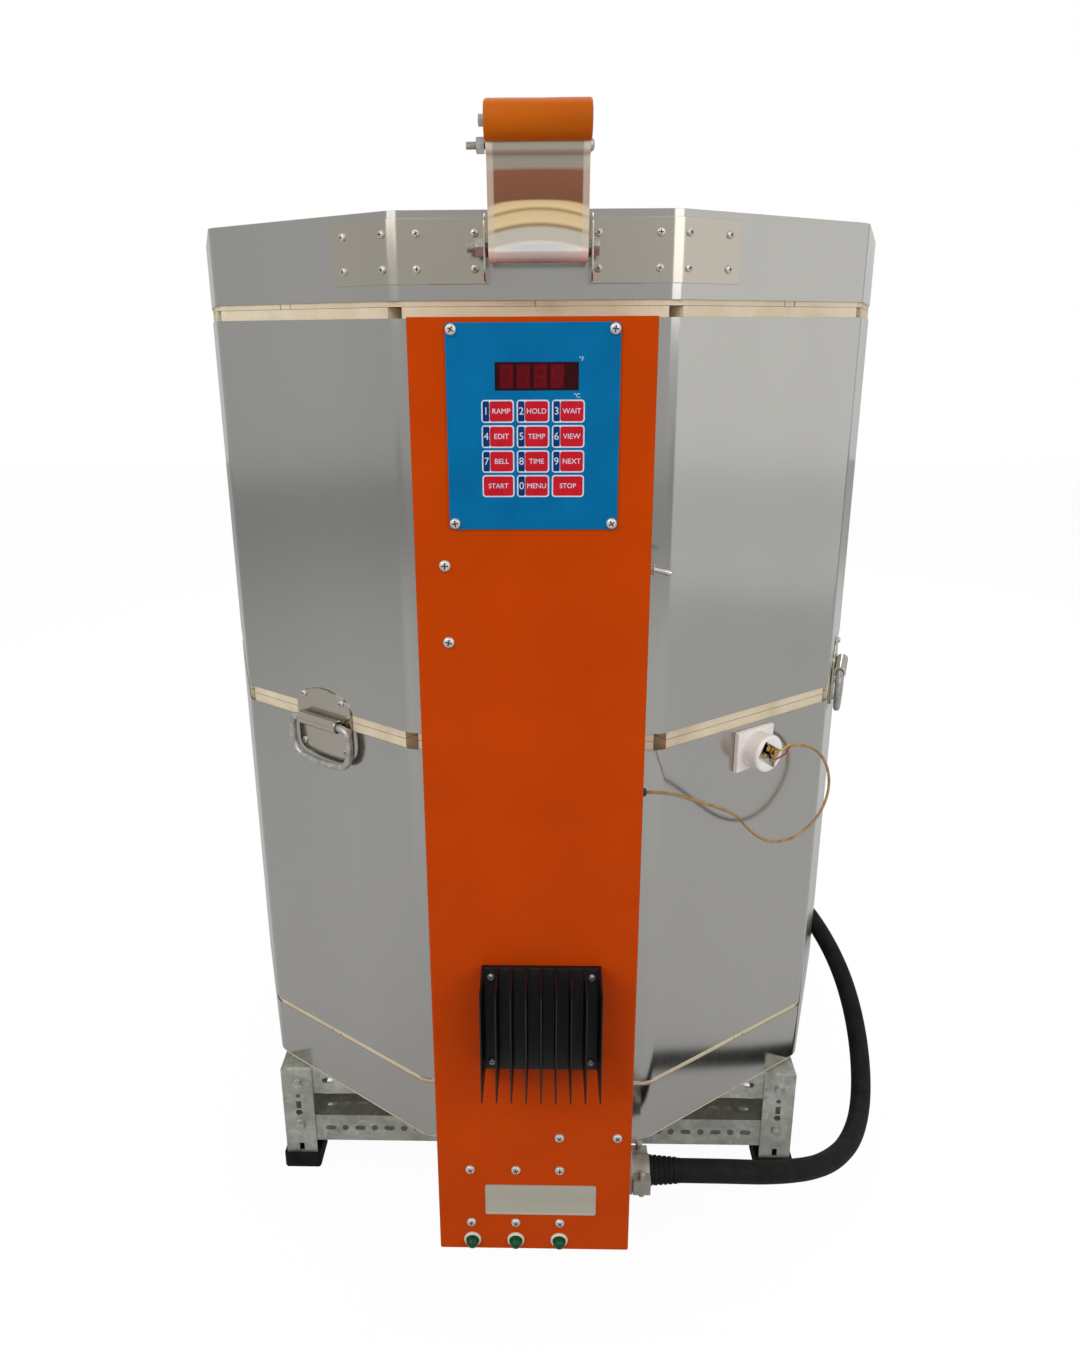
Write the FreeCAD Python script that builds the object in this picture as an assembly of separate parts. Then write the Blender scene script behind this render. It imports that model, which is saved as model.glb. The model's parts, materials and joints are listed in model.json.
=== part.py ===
import FreeCAD, Part
import math
import os

from FreeCAD import Vector

# A ten-sided, top-loading electric kiln in two sections on a slotted-angle stand, in millimetres.
# It is drawn round the chamber's axis with the floor at z = 0 and the control box towards -Y, and
# moved at export so that its origin is under the middle of its box.

# Firebrick lining
SIDES = 10
BRICK_LENGTH = 228.6
BRICK_HEIGHT = 114.3
BRICK_THICK = 76.2
CHAMBER_FLAT = 297.3            # from the axis to a wall's hot face
COURSES = (1.0, 1.0, 1.0, 0.5)  # brick courses of one section, bottom first
GROOVE_WIDTH = 13.0
GROOVE_DEPTH = 14.0
ELEMENT_DIAMETER = 9.0
ELEMENT_PIN = 5.0
ELEMENT_PIN_X = 62.0

# Stainless jackets
SHEET = 0.8
SHEET_GAP = 0.3                 # between the sheet and the brick it wraps
JACKET_CORNER = 20.0
SLAB_THICK = 76.2
SEAM_LINE = 3.0                 # brick left bare each side of the seam under the lower section
JOINT_LINE = 8.5                # brick left bare each side of the joint of the two sections
RIM_LINE = 9.2                  # brick left bare above the upper jacket
LID_GAP = 0.3
LID_BAND_HEIGHT = 71.0
LID_BAND_RISE = 4.8

# Slotted-angle stand
STAND_HEIGHT = 149.0
STAND_WIDTH = 628.0
STAND_DEPTH = 530.0
ANGLE = 38.0
ANGLE_THICK = 2.0
LOWER_RAIL_Z = 40.0
SLOT_PITCH = 18.4
SLOT_LENGTH = 11.0
SLOT_HEIGHT = 6.0
SLOTS_APART = 4                 # pitches from one cut slot to the next
FOOT_HEIGHT = 23.0
FOOT_FLOOR = 6.0
FOOT_WALL = 3.5
BOLT_DIAMETER = 6.0
BOLT_HEAD = 11.0

# Control box
BOX_X = -1.0
BOX_WIDTH = 192.0
BOX_DEPTH = 110.0               # from the brick's face to the box front
BOX_GAP = 8.0                   # air gap behind the box
BOX_TOP = 1016.0
BOX_BOTTOM = 110.0
BOX_SHEET = 1.2
BACK_LIP = 22.0
SPACER_X = 86.0
WINDOW_WIDTH = 18.0
SCREW_HEAD = 8.0
SMALL_HEAD = 7.0
HEAD_RISE = 2.6
HOLE_PLAY = 0.3
PANEL_SCREWS = ((-72.5, 824.0), (-71.0, 759.0), (24.0, 251.0), (81.0, 251.5), (-64.5, 211.0),
                (-19.0, 211.0), (24.5, 211.0), (-64.5, 144.5), (-19.5, 144.5), (25.0, 144.5))
LAMP_X = (-63.7, -19.6, 24.5)
LAMP_Z = 122.5
LAMP_DIAMETER = 12.0
LAMP_RISE = 8.0
BEZEL_DIAMETER = 17.0
BEZEL_RISE = 3.0

# Controller
PLATE_X = -0.5
PLATE_Z = 932.9
PLATE_WIDTH = 134.0
PLATE_HEIGHT = 158.0
PLATE_THICK = 1.6
PLATE_SCREW_X = 62.5
PLATE_SCREW_Z = 74.0
DISPLAY_Z = PLATE_Z + 39.5
DISPLAY_WIDTH = 64.0
DISPLAY_HEIGHT = 20.5
KEY_WIDTH = 25.4
KEY_HEIGHT = 17.4
KEY_PITCH_X = 27.4
KEY_PITCH_Z = 19.2
KEY_TOP_Z = PLATE_Z + 13.4
KEY_COLUMNS = 3
KEY_ROWS = 4
KEYPAD_THICK = 0.6

# Heat sink and the parts inside the box
SINK_X = 6.2
SINK_Z = 391.4
SINK_WIDTH = 110.5
SINK_HEIGHT = 112.0
SINK_BASE = 5.0
SINK_DEPTH = 51.0
FINS = 9
FIN_THICK = 2.4
SINK_SCREW = 46.6
RELAY_WIDTH = 45.0
RELAY_HEIGHT = 58.0
RELAY_DEPTH = 23.0
STANDOFF = 12.0
BOARD_THICK = 1.6
CORE_WIDTH = 60.0
CORE_HEIGHT = 50.0
CORE_DEPTH = 38.0
CORE_Z = 705.0
WINDING_RISE = 8.0
TERMINAL_X = -19.0
TERMINAL_Z = 211.0
TERMINAL_WIDTH = 118.0
TERMINAL_HEIGHT = 30.0
TERMINAL_DEPTH = 24.0
TERMINAL_PITCH = 27.0

# Switch, bushing and cord clamp on the box's right side
SIDE_Y = -432.0
SWITCH_Z = 810.0
SWITCH_BUSH = 11.0
LEVER_TILT = 12.0
LEVER_PIVOT = 3.0               # out from the cover's side
LEVER_LENGTH = 19.0
LEVER_PIN = 9.2                 # the cross pin that the lever rocks on, inside the bush's wall
WIRE_BUSH_Z = 599.0
WIRE_BUSH_REACH = 8.0
WIRE_BUSH_STEM = 8.0
GLAND_Z = 163.0
GLAND_REACH = 24.0
CORD_DIAMETER = 24.0
GLAND_THROAT = CORD_DIAMETER + 5

# Lid handle
HANDLE_X = 3.2
STRAP_HEIGHT = 52.0
STRAP_Z = 1069.3
STRAP_THICK = 1.5
WING_LENGTH = 70.0
EAR_OUT = 12.0                  # past the pivot bolt
EAR_ROUND = 10.0
EAR_SPACE = 85.5
PIVOT_OUT = 31.0                # from the lid's brick face to the pivot bolt
PIVOT_Z = 1070.0
PIVOT_DIAMETER = 8.0
BRACKET_WIDTH = 80.0
BRACKET_SHEET = 1.6
CURL_OUT = 33.0
CURL_UP = 70.0
CURL_DIAMETER = 12.0
GRIP_DIAMETER = 30.0
GRIP_LENGTH = 82.0
GRIP_OUT = 37.0
GRIP_UP = 86.5

# Drop handles over the joint of the sections
DROP_FACETS = {"left": -1, "right": 2, "rear": 5}
DROP_PLATE_WIDTH = 80.0
DROP_PLATE_UP = 30.0
DROP_PLATE_DOWN = 45.0
DROP_PLATE_THICK = 2.0
DROP_PLATE_CORNER = 14.0
BARREL_LENGTH = 56.0
BARREL_DIAMETER = 14.0
BARREL_DROP = 5.0               # barrel axis below the joint
BAIL_WIRE = 8.0
BAIL_WIDTH = 94.0
BAIL_DROP = 46.0
BAIL_CORNER = 13.0
BAIL_GRIP = 8.0                 # of each end inside the barrel

# Hinge at the back of the lid
HINGE_OUT = 30.0                # from the brick face to the hinge pin
HINGE_RISE = 8.0                # pin above the upper section's rim
PIN_DIAMETER = 10.0
HINGE_SHEET = 3.0
BODY_EARS = 150.0
LID_EARS = 136.0
HEEL_RISE = 26.8                # of the body ears above the pin, to stop the lid 100 degrees open

# Thermocouple, peepholes, cord hook
BLOCK_FACET = 1
BLOCK_ALONG = 6.0
BLOCK_Z = 590.0
BLOCK_WIDTH = 52.0
BLOCK_HEIGHT = 40.0
BLOCK_DEPTH = 26.0
BLOCK_HEAD = 40.0
TERMINAL_TURN = 32.0
TUBE_DIAMETER = 12.0
LEAD_DIAMETER = 3.0
PEEP_FACET = -3
PEEP_HOLE = 26.0
PEEP_NARROW = 20.0
PLUG_KNOB = 36.0
HOOK_FACET = 3
HOOK_ALONG = -34.0
HOOK_Z = 187.0
HOOK_WIDTH = 18.0
HOOK_SHEET = 2.0
HOOK_REACH = 31.0
HOOK_BACK = 78.0
HOOK_LIP = 24.0

# Levels and distances worked out from the sizes above
HALF_TURN = math.pi / SIDES
OUTER_FLAT = CHAMBER_FLAT + BRICK_THICK
JACKET_FLAT = OUTER_FLAT + SHEET_GAP
SKIN_FLAT = JACKET_FLAT + SHEET
SECTION_HEIGHT = sum(COURSES) * BRICK_HEIGHT
SEAM_Z = STAND_HEIGHT + SLAB_THICK
JOINT_Z = SEAM_Z + SECTION_HEIGHT
RIM_Z = JOINT_Z + SECTION_HEIGHT
LID_Z = RIM_Z + LID_GAP
FRONT_Y = -(OUTER_FLAT + BOX_DEPTH)
BACK_Y = -(SKIN_FLAT + BOX_GAP)
RIGHT_X = BOX_X + BOX_WIDTH / 2
PIVOT_Y = -(OUTER_FLAT + PIVOT_OUT)
HINGE_Y = OUTER_FLAT + HINGE_OUT
HINGE_Z = RIM_Z + HINGE_RISE
HEEL_Z = HINGE_Z + HEEL_RISE
SPACER_LEVELS = (SEAM_Z + 20, JOINT_Z - 40, JOINT_Z + 40, RIM_Z - 40)
ORIGIN_Y = 59.0                 # from the chamber's axis back to the middle of the whole kiln's depth


def block(x0, x1, y0, y1, z0, z1):
    return Part.makeBox(x1 - x0, y1 - y0, z1 - z0, Vector(x0, y0, z0))


def many_sided(across, sides, z):
    """A closed outline with so many flat sides, at the height z."""
    radius = across / 2 / math.cos(math.pi / sides)
    corners = []
    for i in range(sides + 1):
        turn = 2 * math.pi * i / sides
        corners.append(Vector(radius * math.cos(turn), radius * math.sin(turn), z))
    return Part.makePolygon(corners)


def pointed(solid, start, direction):
    """Carry a solid made upwards from the origin to its start and direction."""
    solid.Placement = FreeCAD.Placement(Vector(*start), FreeCAD.Rotation(Vector(0, 0, 1), Vector(*direction)))
    return solid


def bar(start, direction, across, length, sides=6):
    """A bar with flat sides, as a nut, a bolt head, a screw head or a plain wire."""
    prism = Part.Face(many_sided(across, sides, 0)).extrude(Vector(0, 0, length))
    return pointed(prism, start, direction)


def rod(start, direction, diameter, length):
    """A round bar, for the pins and bores that something turns on."""
    return pointed(Part.makeCylinder(diameter / 2, length), start, direction)


def taper(start, direction, across, far_across, length, sides=10):
    """A bar that widens or narrows evenly to its far end."""
    ends = [many_sided(across, sides, 0), many_sided(far_across, sides, length)]
    return pointed(Part.makeLoft(ends, True, True), start, direction)


def profile_x(points, x0, x1):
    """An outline of (y, z) points extruded along X."""
    corners = [Vector(x0, y, z) for y, z in points]
    face = Part.Face(Part.makePolygon(corners + corners[:1]))
    return face.extrude(Vector(x1 - x0, 0, 0))


def profile_z(points, z0, z1):
    """An outline of (x, y) points extruded upwards."""
    corners = [Vector(x, y, z0) for x, y in points]
    face = Part.Face(Part.makePolygon(corners + corners[:1]))
    return face.extrude(Vector(0, 0, z1 - z0))


def turned(shape, facet):
    """Carry a shape made on the front facet round to another facet, counted to the right."""
    copy = shape.copy()
    copy.rotate(Vector(0, 0, 0), Vector(0, 0, 1), math.degrees(2 * HALF_TURN) * facet)
    return copy


def brick_ring(flat, half_length):
    """The outline of a ten-sided ring whose corners are left square by the bricks' ends."""
    points = []
    for i in range(SIDES):
        turn = 2 * HALF_TURN * i
        for x in (-half_length, half_length):
            points.append((x * math.cos(turn) + flat * math.sin(turn),
                           x * math.sin(turn) - flat * math.cos(turn)))
    return points


def ten_sided(flat, z0, z1, corner=0.0):
    """A ten-sided prism with a flat to the front, its upright corners rounded if asked."""
    half = flat * math.tan(HALF_TURN)
    prism = profile_z(brick_ring(flat, half)[::2], z0, z1)
    if corner > 0:
        upright = [e for e in prism.Edges if abs(e.BoundBox.ZLength - (z1 - z0)) < 0.01]
        prism = prism.makeFillet(corner, upright)
    return prism


def wrap(flat, z0, z1, thick, corner):
    """A sheet wrapped round the ten sides."""
    outside = ten_sided(flat + thick, z0, z1, corner + thick)
    return outside.cut(ten_sided(flat, z0 - 1, z1 + 1, corner))


def screw_head(start, direction, size=SCREW_HEAD):
    """A screw's head on the surface that it holds; its shank is left out."""
    return bar(start, direction, size, HEAD_RISE, 8)


def mirrored(shape, plane_x, plane_y):
    """The shape, or its copy on the other side across X, across Y or both."""
    if plane_x:
        shape = shape.mirror(Vector(0, 0, 0), Vector(1, 0, 0))
    if plane_y:
        shape = shape.mirror(Vector(0, 0, 0), Vector(0, 1, 0))
    return shape


def four_corners(shape):
    return [mirrored(shape, x, y) for x in (False, True) for y in (False, True)]


def save(name, *solids):
    """Write one named piece, or a group of like pieces, in the kiln's final frame."""
    whole = Part.makeCompound([s for shape in solids for s in shape.Solids])
    whole.translate(Vector(0, ORIGIN_Y, 0))
    whole.exportStep("parts/" + name + ".step")


def slot_cutter(x, z, wide, high):
    """One slot through the front leg of an angle."""
    return block(x - wide / 2, x + wide / 2, -5, 5, z - high / 2, z + high / 2)


def angle_rail(length, flat_on_top):
    """A slotted angle along X, its upright leg at y = 0 and its flat leg going to +Y."""
    half = length / 2
    z = ANGLE - ANGLE_THICK if flat_on_top else 0
    rail = block(-half, half, 0, ANGLE_THICK, 0, ANGLE)
    rail = rail.fuse(block(-half, half, 0, ANGLE, z, z + ANGLE_THICK)).removeSplitter()
    step = SLOTS_APART * SLOT_PITCH
    count = int((length - 4 * ANGLE) / step) + 1
    first = -(count - 1) * step / 2
    for i in range(count):
        rail = rail.cut(slot_cutter(first + i * step, ANGLE / 2, SLOT_LENGTH, SLOT_HEIGHT))
    return rail


def bolt_holes(reach):
    """Square holes where the stand's bolts pass through legs and rails."""
    size = BOLT_DIAMETER + HOLE_PLAY
    holes = []
    for place, out in stand_bolt_places():
        start = Vector(*place) - Vector(*out) * reach
        holes.append(bar((start.x, start.y, start.z), out, size, reach + 1, 4))
    return holes


def stand_legs():
    top = STAND_HEIGHT - ANGLE_THICK
    leg = block(0, ANGLE, 0, ANGLE_THICK, FOOT_FLOOR, top)
    leg = leg.fuse(block(0, ANGLE_THICK, 0, ANGLE, FOOT_FLOOR, top)).removeSplitter()
    middle = (LOWER_RAIL_Z + STAND_HEIGHT) / 2
    for z in (FOOT_HEIGHT + 8, middle):
        leg = leg.cut(slot_cutter(ANGLE / 2, z, SLOT_HEIGHT, SLOT_LENGTH))
    leg.translate(Vector(-STAND_WIDTH / 2, -STAND_DEPTH / 2, 0))
    holes = bolt_holes(2 * ANGLE_THICK)
    return [touching(one, holes) for one in four_corners(leg)]


def stand_rails(z, flat_on_top):
    """Four rails bolted inside the legs: front and back full length, the sides coped between them."""
    half_depth = STAND_DEPTH / 2 - ANGLE_THICK
    half_width = STAND_WIDTH / 2 - ANGLE_THICK
    front = angle_rail(2 * half_width, flat_on_top)
    front.translate(Vector(0, -half_depth, z))
    back = mirrored(front, False, True)
    left = angle_rail(2 * (half_depth - ANGLE_THICK), flat_on_top)
    left.rotate(Vector(0, 0, 0), Vector(0, 0, 1), -90)
    left.translate(Vector(-half_width, 0, z))
    left = left.cut(front).cut(back)
    holes = bolt_holes(4 * ANGLE_THICK)
    return [touching(rail, holes) for rail in (front, back, left, mirrored(left, True, False))]


def stand_bolt_places():
    """Where each bolt's head sits on a leg, and the way it points out."""
    places = []
    for z in (LOWER_RAIL_Z + ANGLE / 2 + 6, STAND_HEIGHT - ANGLE / 2 - 4):
        for side in (-1, 1):
            for end in (-1, 1):
                x = side * (STAND_WIDTH / 2 - ANGLE / 2)
                y = end * (STAND_DEPTH / 2 - ANGLE / 2)
                places.append(((x, end * STAND_DEPTH / 2, z), (0, end, 0)))
                places.append(((side * STAND_WIDTH / 2, y, z), (side, 0, 0)))
    return places


def stand_bolts():
    """Hexagon bolts through leg and rail, each with its nut inside."""
    bolts = []
    grip = 2 * ANGLE_THICK
    nut = 5.0
    for place, out in stand_bolt_places():
        inner = Vector(*place) - Vector(*out) * (grip + nut)
        at = (inner.x, inner.y, inner.z)
        bolt = bar(at, out, BOLT_DIAMETER, grip + nut, 4).fuse(bar(at, out, BOLT_HEAD, nut))
        bolts.append(bolt.fuse(bar(place, out, BOLT_HEAD, 4)).removeSplitter())
    return bolts


def rubber_feet():
    """Rubber boots pushed over the legs' ends, a leg standing on each boot's floor."""
    outer = ANGLE + FOOT_WALL
    boot = block(-FOOT_WALL, outer, -FOOT_WALL, outer, 0, FOOT_HEIGHT)
    rims = [e for e in boot.Edges if e.BoundBox.ZMax < 0.01 or e.BoundBox.ZLength > FOOT_HEIGHT - 0.01]
    boot = boot.makeChamfer(3.0, rims)
    play = HOLE_PLAY / 2
    top = FOOT_HEIGHT + 1
    boot = boot.cut(block(-play, ANGLE + play, -play, ANGLE_THICK + play, FOOT_FLOOR, top))
    boot = boot.cut(block(-play, ANGLE_THICK + play, -play, ANGLE + play, FOOT_FLOOR, top))
    boot.translate(Vector(-STAND_WIDTH / 2, -STAND_DEPTH / 2, 0))
    return four_corners(boot)


def element_levels(base):
    """The middle of each full course, where its groove and its element run."""
    levels = []
    z = base
    for share in COURSES:
        if share == 1.0:
            levels.append(z + BRICK_HEIGHT / 2)
        z += share * BRICK_HEIGHT
    return levels


def wall_holes():
    """What passes through the walls: element pins, the thermocouple tube and the peepholes."""
    holes = []
    for base in (SEAM_Z, JOINT_Z):
        for z in element_levels(base):
            for x in (-ELEMENT_PIN_X, ELEMENT_PIN_X):
                holes.append(bar((x, -SKIN_FLAT - 1, z), (0, 1, 0), ELEMENT_PIN + HOLE_PLAY, BRICK_THICK, 6))
        peep = taper((0, -SKIN_FLAT - 1, base + 2 * BRICK_HEIGHT), (0, 1, 0), PEEP_HOLE, PEEP_NARROW,
                     BRICK_THICK + 4)
        holes.append(turned(peep, PEEP_FACET))
    sheath = bar((BLOCK_ALONG, -SKIN_FLAT - 1, BLOCK_Z), (0, 1, 0), TUBE_DIAMETER + 2 * HOLE_PLAY,
                 BRICK_THICK + 4, 10)
    holes.append(turned(sheath, BLOCK_FACET))
    return holes


def touching(shape, cutters):
    """Cut only with what reaches the shape, to keep the build quick."""
    box = shape.BoundBox
    near = [c for c in cutters if box.intersect(c.BoundBox)]
    for cutter in near:
        shape = shape.cut(cutter)
    return shape


def section_bricks(base, holes):
    """The mitred bricks of one section, with a groove for the element in each full course."""
    half = BRICK_LENGTH / 2
    slope = math.tan(HALF_TURN)
    outline = [(-half, -OUTER_FLAT), (half, -OUTER_FLAT), (half, -half / slope),
               (CHAMBER_FLAT * slope, -CHAMBER_FLAT), (-CHAMBER_FLAT * slope, -CHAMBER_FLAT),
               (-half, -half / slope)]
    bricks = []
    z = base
    for share in COURSES:
        height = share * BRICK_HEIGHT
        brick = profile_z(outline, z, z + height)
        if share == 1.0:
            middle = z + height / 2
            mouth = CHAMBER_FLAT - 1
            deep = CHAMBER_FLAT + GROOVE_DEPTH
            lip = GROOVE_WIDTH / 2
            groove = [(-mouth, middle - lip + 2), (-mouth, middle + lip + 2), (-deep, middle + lip - 2),
                      (-deep, middle - lip - 2)]
            brick = brick.cut(profile_x(groove, -BRICK_LENGTH, BRICK_LENGTH))
        for facet in range(SIDES):
            bricks.append(touching(turned(brick, facet), holes))
        z += height
    return bricks


def elements(base):
    """One closed row of element coil, drawn plain, in each groove of a section."""
    rows = []
    flat = CHAMBER_FLAT + GROOVE_DEPTH - ELEMENT_DIAMETER / 2 - HOLE_PLAY - 0.5
    radius = flat / math.cos(HALF_TURN)
    for z in element_levels(base):
        corners = []
        for i in range(SIDES + 1):
            turn = 2 * HALF_TURN * (i - 0.5)
            corners.append(Vector(radius * math.sin(turn), -radius * math.cos(turn), z))
        path = Part.makePolygon(corners)
        start = (corners[0] + corners[1]) * 0.5
        along = corners[1] - corners[0]
        ring = bar((start.x, start.y, start.z), (along.x, along.y, along.z), ELEMENT_DIAMETER, 1).Faces
        section = [face for face in ring if face.CenterOfMass.distanceToPoint(start) < 0.01][0]
        middle = [start] + corners[1:-1] + [corners[0], start]
        path = Part.makePolygon(middle)
        sweep = Part.Wire(path).makePipeShell([section.OuterWire], True, False, 1)
        rows.append(sweep)
    return rows


def element_pins():
    """Each row's two pins, from its groove through the wall into the control box."""
    pins = []
    inner = CHAMBER_FLAT + GROOVE_DEPTH + HOLE_PLAY
    outer = -BACK_Y + 24
    for base in (SEAM_Z, JOINT_Z):
        for z in element_levels(base):
            for x in (-ELEMENT_PIN_X, ELEMENT_PIN_X):
                pins.append(bar((x, -outer, z), (0, 1, 0), ELEMENT_PIN, outer - inner))
    return pins


def control_box_cover():
    """The folded sheet cover, open at the back, with its openings."""
    x0 = BOX_X - BOX_WIDTH / 2
    x1 = BOX_X + BOX_WIDTH / 2
    shell = block(x0, x1, FRONT_Y, BACK_Y - BOX_SHEET, BOX_BOTTOM, BOX_TOP)
    folds = [e for e in shell.Edges if e.BoundBox.ZLength > 100 and e.BoundBox.YMax < FRONT_Y + 1]
    shell = shell.makeFillet(2.0, folds)
    shell = shell.cut(block(x0 + BOX_SHEET, x1 - BOX_SHEET, FRONT_Y + BOX_SHEET, BACK_Y + 1,
                            BOX_BOTTOM + BOX_SHEET, BOX_TOP - BOX_SHEET))
    cutters = [block(PLATE_X - 48, PLATE_X + 48, FRONT_Y - 1, FRONT_Y + 5, PLATE_Z - 66, PLATE_Z + 62),
               block(SINK_X - 47, SINK_X + 47, FRONT_Y - 1, FRONT_Y + 5, SINK_Z - 32, SINK_Z + 32)]
    for x in LAMP_X:
        cutters.append(bar((x, FRONT_Y - 1, LAMP_Z), (0, 1, 0), LAMP_DIAMETER + HOLE_PLAY, 5, 10))
    for z, size in ((SWITCH_Z, SWITCH_BUSH), (WIRE_BUSH_Z, WIRE_BUSH_STEM), (GLAND_Z, GLAND_THROAT)):
        cutters.append(bar((x1 - 5, SIDE_Y, z), (1, 0, 0), size + HOLE_PLAY, 10, 12))
    for cutter in cutters:
        shell = shell.cut(cutter)
    return shell


def control_box_back():
    """The galvanised chassis: a tray inside the cover's rim, on spacers that stand off the jackets."""
    x0 = BOX_X - BOX_WIDTH / 2 + BOX_SHEET + HOLE_PLAY
    x1 = BOX_X + BOX_WIDTH / 2 - BOX_SHEET - HOLE_PLAY
    z0 = BOX_BOTTOM + BOX_SHEET + HOLE_PLAY
    z1 = BOX_TOP - BOX_SHEET - HOLE_PLAY
    tray = block(x0, x1, BACK_Y - BACK_LIP, BACK_Y, z0, z1)
    tray = tray.cut(block(x0 + BOX_SHEET, x1 - BOX_SHEET, BACK_Y - BACK_LIP - 1, BACK_Y - BOX_SHEET,
                          z0 + BOX_SHEET, z1 - BOX_SHEET))
    for z in SPACER_LEVELS:
        for x in (BOX_X - SPACER_X, BOX_X + SPACER_X):
            tray = tray.fuse(bar((x, BACK_Y, z), (0, 1, 0), 12, BOX_GAP))
    for window in element_windows(BACK_Y - BACK_LIP, BACK_Y + 1):
        tray = tray.cut(window)
    return tray.removeSplitter()


def element_windows(y0, y1):
    """The tall openings, one a section, that the element pins pass through."""
    windows = []
    for base in (SEAM_Z, JOINT_Z):
        levels = element_levels(base)
        for x in (-ELEMENT_PIN_X, ELEMENT_PIN_X):
            windows.append(block(x - WINDOW_WIDTH / 2, x + WINDOW_WIDTH / 2, y0, y1,
                                 levels[0] - WINDOW_WIDTH / 2, levels[-1] + WINDOW_WIDTH / 2))
    return windows


def plate_screw_places():
    return [(PLATE_X + sx * PLATE_SCREW_X, PLATE_Z + sz * PLATE_SCREW_Z) for sx in (-1, 1) for sz in (-1, 1)]


def sink_screw_places():
    return [(SINK_X + sx * SINK_SCREW, SINK_Z + sz * SINK_SCREW) for sx in (-1, 1) for sz in (-1, 1)]


def controller_plate():
    x0 = PLATE_X - PLATE_WIDTH / 2
    z0 = PLATE_Z - PLATE_HEIGHT / 2
    plate = block(x0, x0 + PLATE_WIDTH, FRONT_Y - PLATE_THICK, FRONT_Y, z0, z0 + PLATE_HEIGHT)
    corners = [e for e in plate.Edges if e.BoundBox.YLength > PLATE_THICK - 0.01]
    plate = plate.makeFillet(3.0, corners)
    plate = plate.cut(display_block(HOLE_PLAY / 2, -10, 10))
    return plate


def display_block(play, y0, y1):
    half = DISPLAY_WIDTH / 2 + play
    tall = DISPLAY_HEIGHT / 2 + play
    middle = PLATE_X + 2.9
    return block(middle - half, middle + half, FRONT_Y + y0, FRONT_Y + y1, DISPLAY_Z - tall, DISPLAY_Z + tall)


def display_window():
    return display_block(0, -PLATE_THICK - 0.5, STANDOFF)


def keypad():
    """The membrane keys: raised pads of one flexible overlay on the plate."""
    pads = []
    for row in range(KEY_ROWS):
        for column in range(KEY_COLUMNS):
            x = PLATE_X + (column - 1) * KEY_PITCH_X
            z = KEY_TOP_Z - row * KEY_PITCH_Z
            pads.append(block(x - KEY_WIDTH / 2, x + KEY_WIDTH / 2, FRONT_Y - PLATE_THICK - KEYPAD_THICK,
                              FRONT_Y - PLATE_THICK, z - KEY_HEIGHT / 2, z + KEY_HEIGHT / 2))
    return pads


def heat_sink():
    base = FRONT_Y - SINK_BASE
    z0 = SINK_Z - SINK_HEIGHT / 2
    sink = block(SINK_X - SINK_WIDTH / 2, SINK_X + SINK_WIDTH / 2, base, FRONT_Y, z0, z0 + SINK_HEIGHT)
    pitch = (SINK_WIDTH - FIN_THICK) / (FINS - 1)
    for i in range(FINS):
        x = SINK_X - SINK_WIDTH / 2 + pitch * i
        fin = [(x, base), (x + FIN_THICK, base), (x + FIN_THICK * 0.8, FRONT_Y - SINK_DEPTH),
               (x + FIN_THICK * 0.2, FRONT_Y - SINK_DEPTH)]
        sink = sink.fuse(profile_z(fin, z0, z0 + SINK_HEIGHT))
    return sink.removeSplitter()


def pilot_lamps():
    """Green lamps pushed through the cover, each a lens with a bevelled rim on its stem."""
    lamps = []
    for x in LAMP_X:
        stem = bar((x, FRONT_Y - BEZEL_RISE, LAMP_Z), (0, 1, 0), LAMP_DIAMETER, 25, 10)
        lens = taper((x, FRONT_Y - LAMP_RISE, LAMP_Z), (0, 1, 0), LAMP_DIAMETER - 4, LAMP_DIAMETER,
                     LAMP_RISE - BEZEL_RISE)
        lamps.append(stem.fuse(lens))
    return lamps


def pilot_bezels():
    bezels = []
    for x in LAMP_X:
        ring = bar((x, FRONT_Y - BEZEL_RISE, LAMP_Z), (0, 1, 0), BEZEL_DIAMETER, BEZEL_RISE, 10)
        bezels.append(ring.cut(bar((x, FRONT_Y - 9, LAMP_Z), (0, 1, 0), LAMP_DIAMETER + HOLE_PLAY, 12, 10)))
    return bezels


def relays():
    parts = []
    for side in (-1, 1):
        x = SINK_X + side * (RELAY_WIDTH / 2 + 0.5)
        parts.append(block(x - RELAY_WIDTH / 2, x + RELAY_WIDTH / 2, FRONT_Y, FRONT_Y + RELAY_DEPTH,
                           SINK_Z - RELAY_HEIGHT / 2, SINK_Z + RELAY_HEIGHT / 2))
    return parts


def transformer():
    """A laminated core with its winding, standing on the chassis."""
    y1 = BACK_Y - BOX_SHEET
    wide = CORE_WIDTH / 2
    tall = CORE_HEIGHT / 2
    core = block(-wide, wide, y1 - CORE_DEPTH, y1, CORE_Z - tall, CORE_Z + tall)
    winding = block(8 - wide, wide - 8, y1 - CORE_DEPTH - WINDING_RISE, y1 - CORE_DEPTH,
                    CORE_Z - tall + 7, CORE_Z + tall - 7)
    return core.fuse(winding).removeSplitter()


def terminal_block():
    """The mains terminals, ribbed between the poles, screwed to the cover."""
    y0 = FRONT_Y + BOX_SHEET
    x0 = TERMINAL_X - TERMINAL_WIDTH / 2
    z0 = TERMINAL_Z - TERMINAL_HEIGHT / 2
    body = block(x0, x0 + TERMINAL_WIDTH, y0, y0 + TERMINAL_DEPTH, z0, z0 + TERMINAL_HEIGHT)
    for i in range(4):
        x = x0 + (i + 1) * TERMINAL_PITCH
        body = body.cut(block(x - 9, x + 9, y0 + TERMINAL_DEPTH / 2, y0 + TERMINAL_DEPTH + 1,
                              z0 - 1, z0 + TERMINAL_HEIGHT + 1))
    return body


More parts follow.
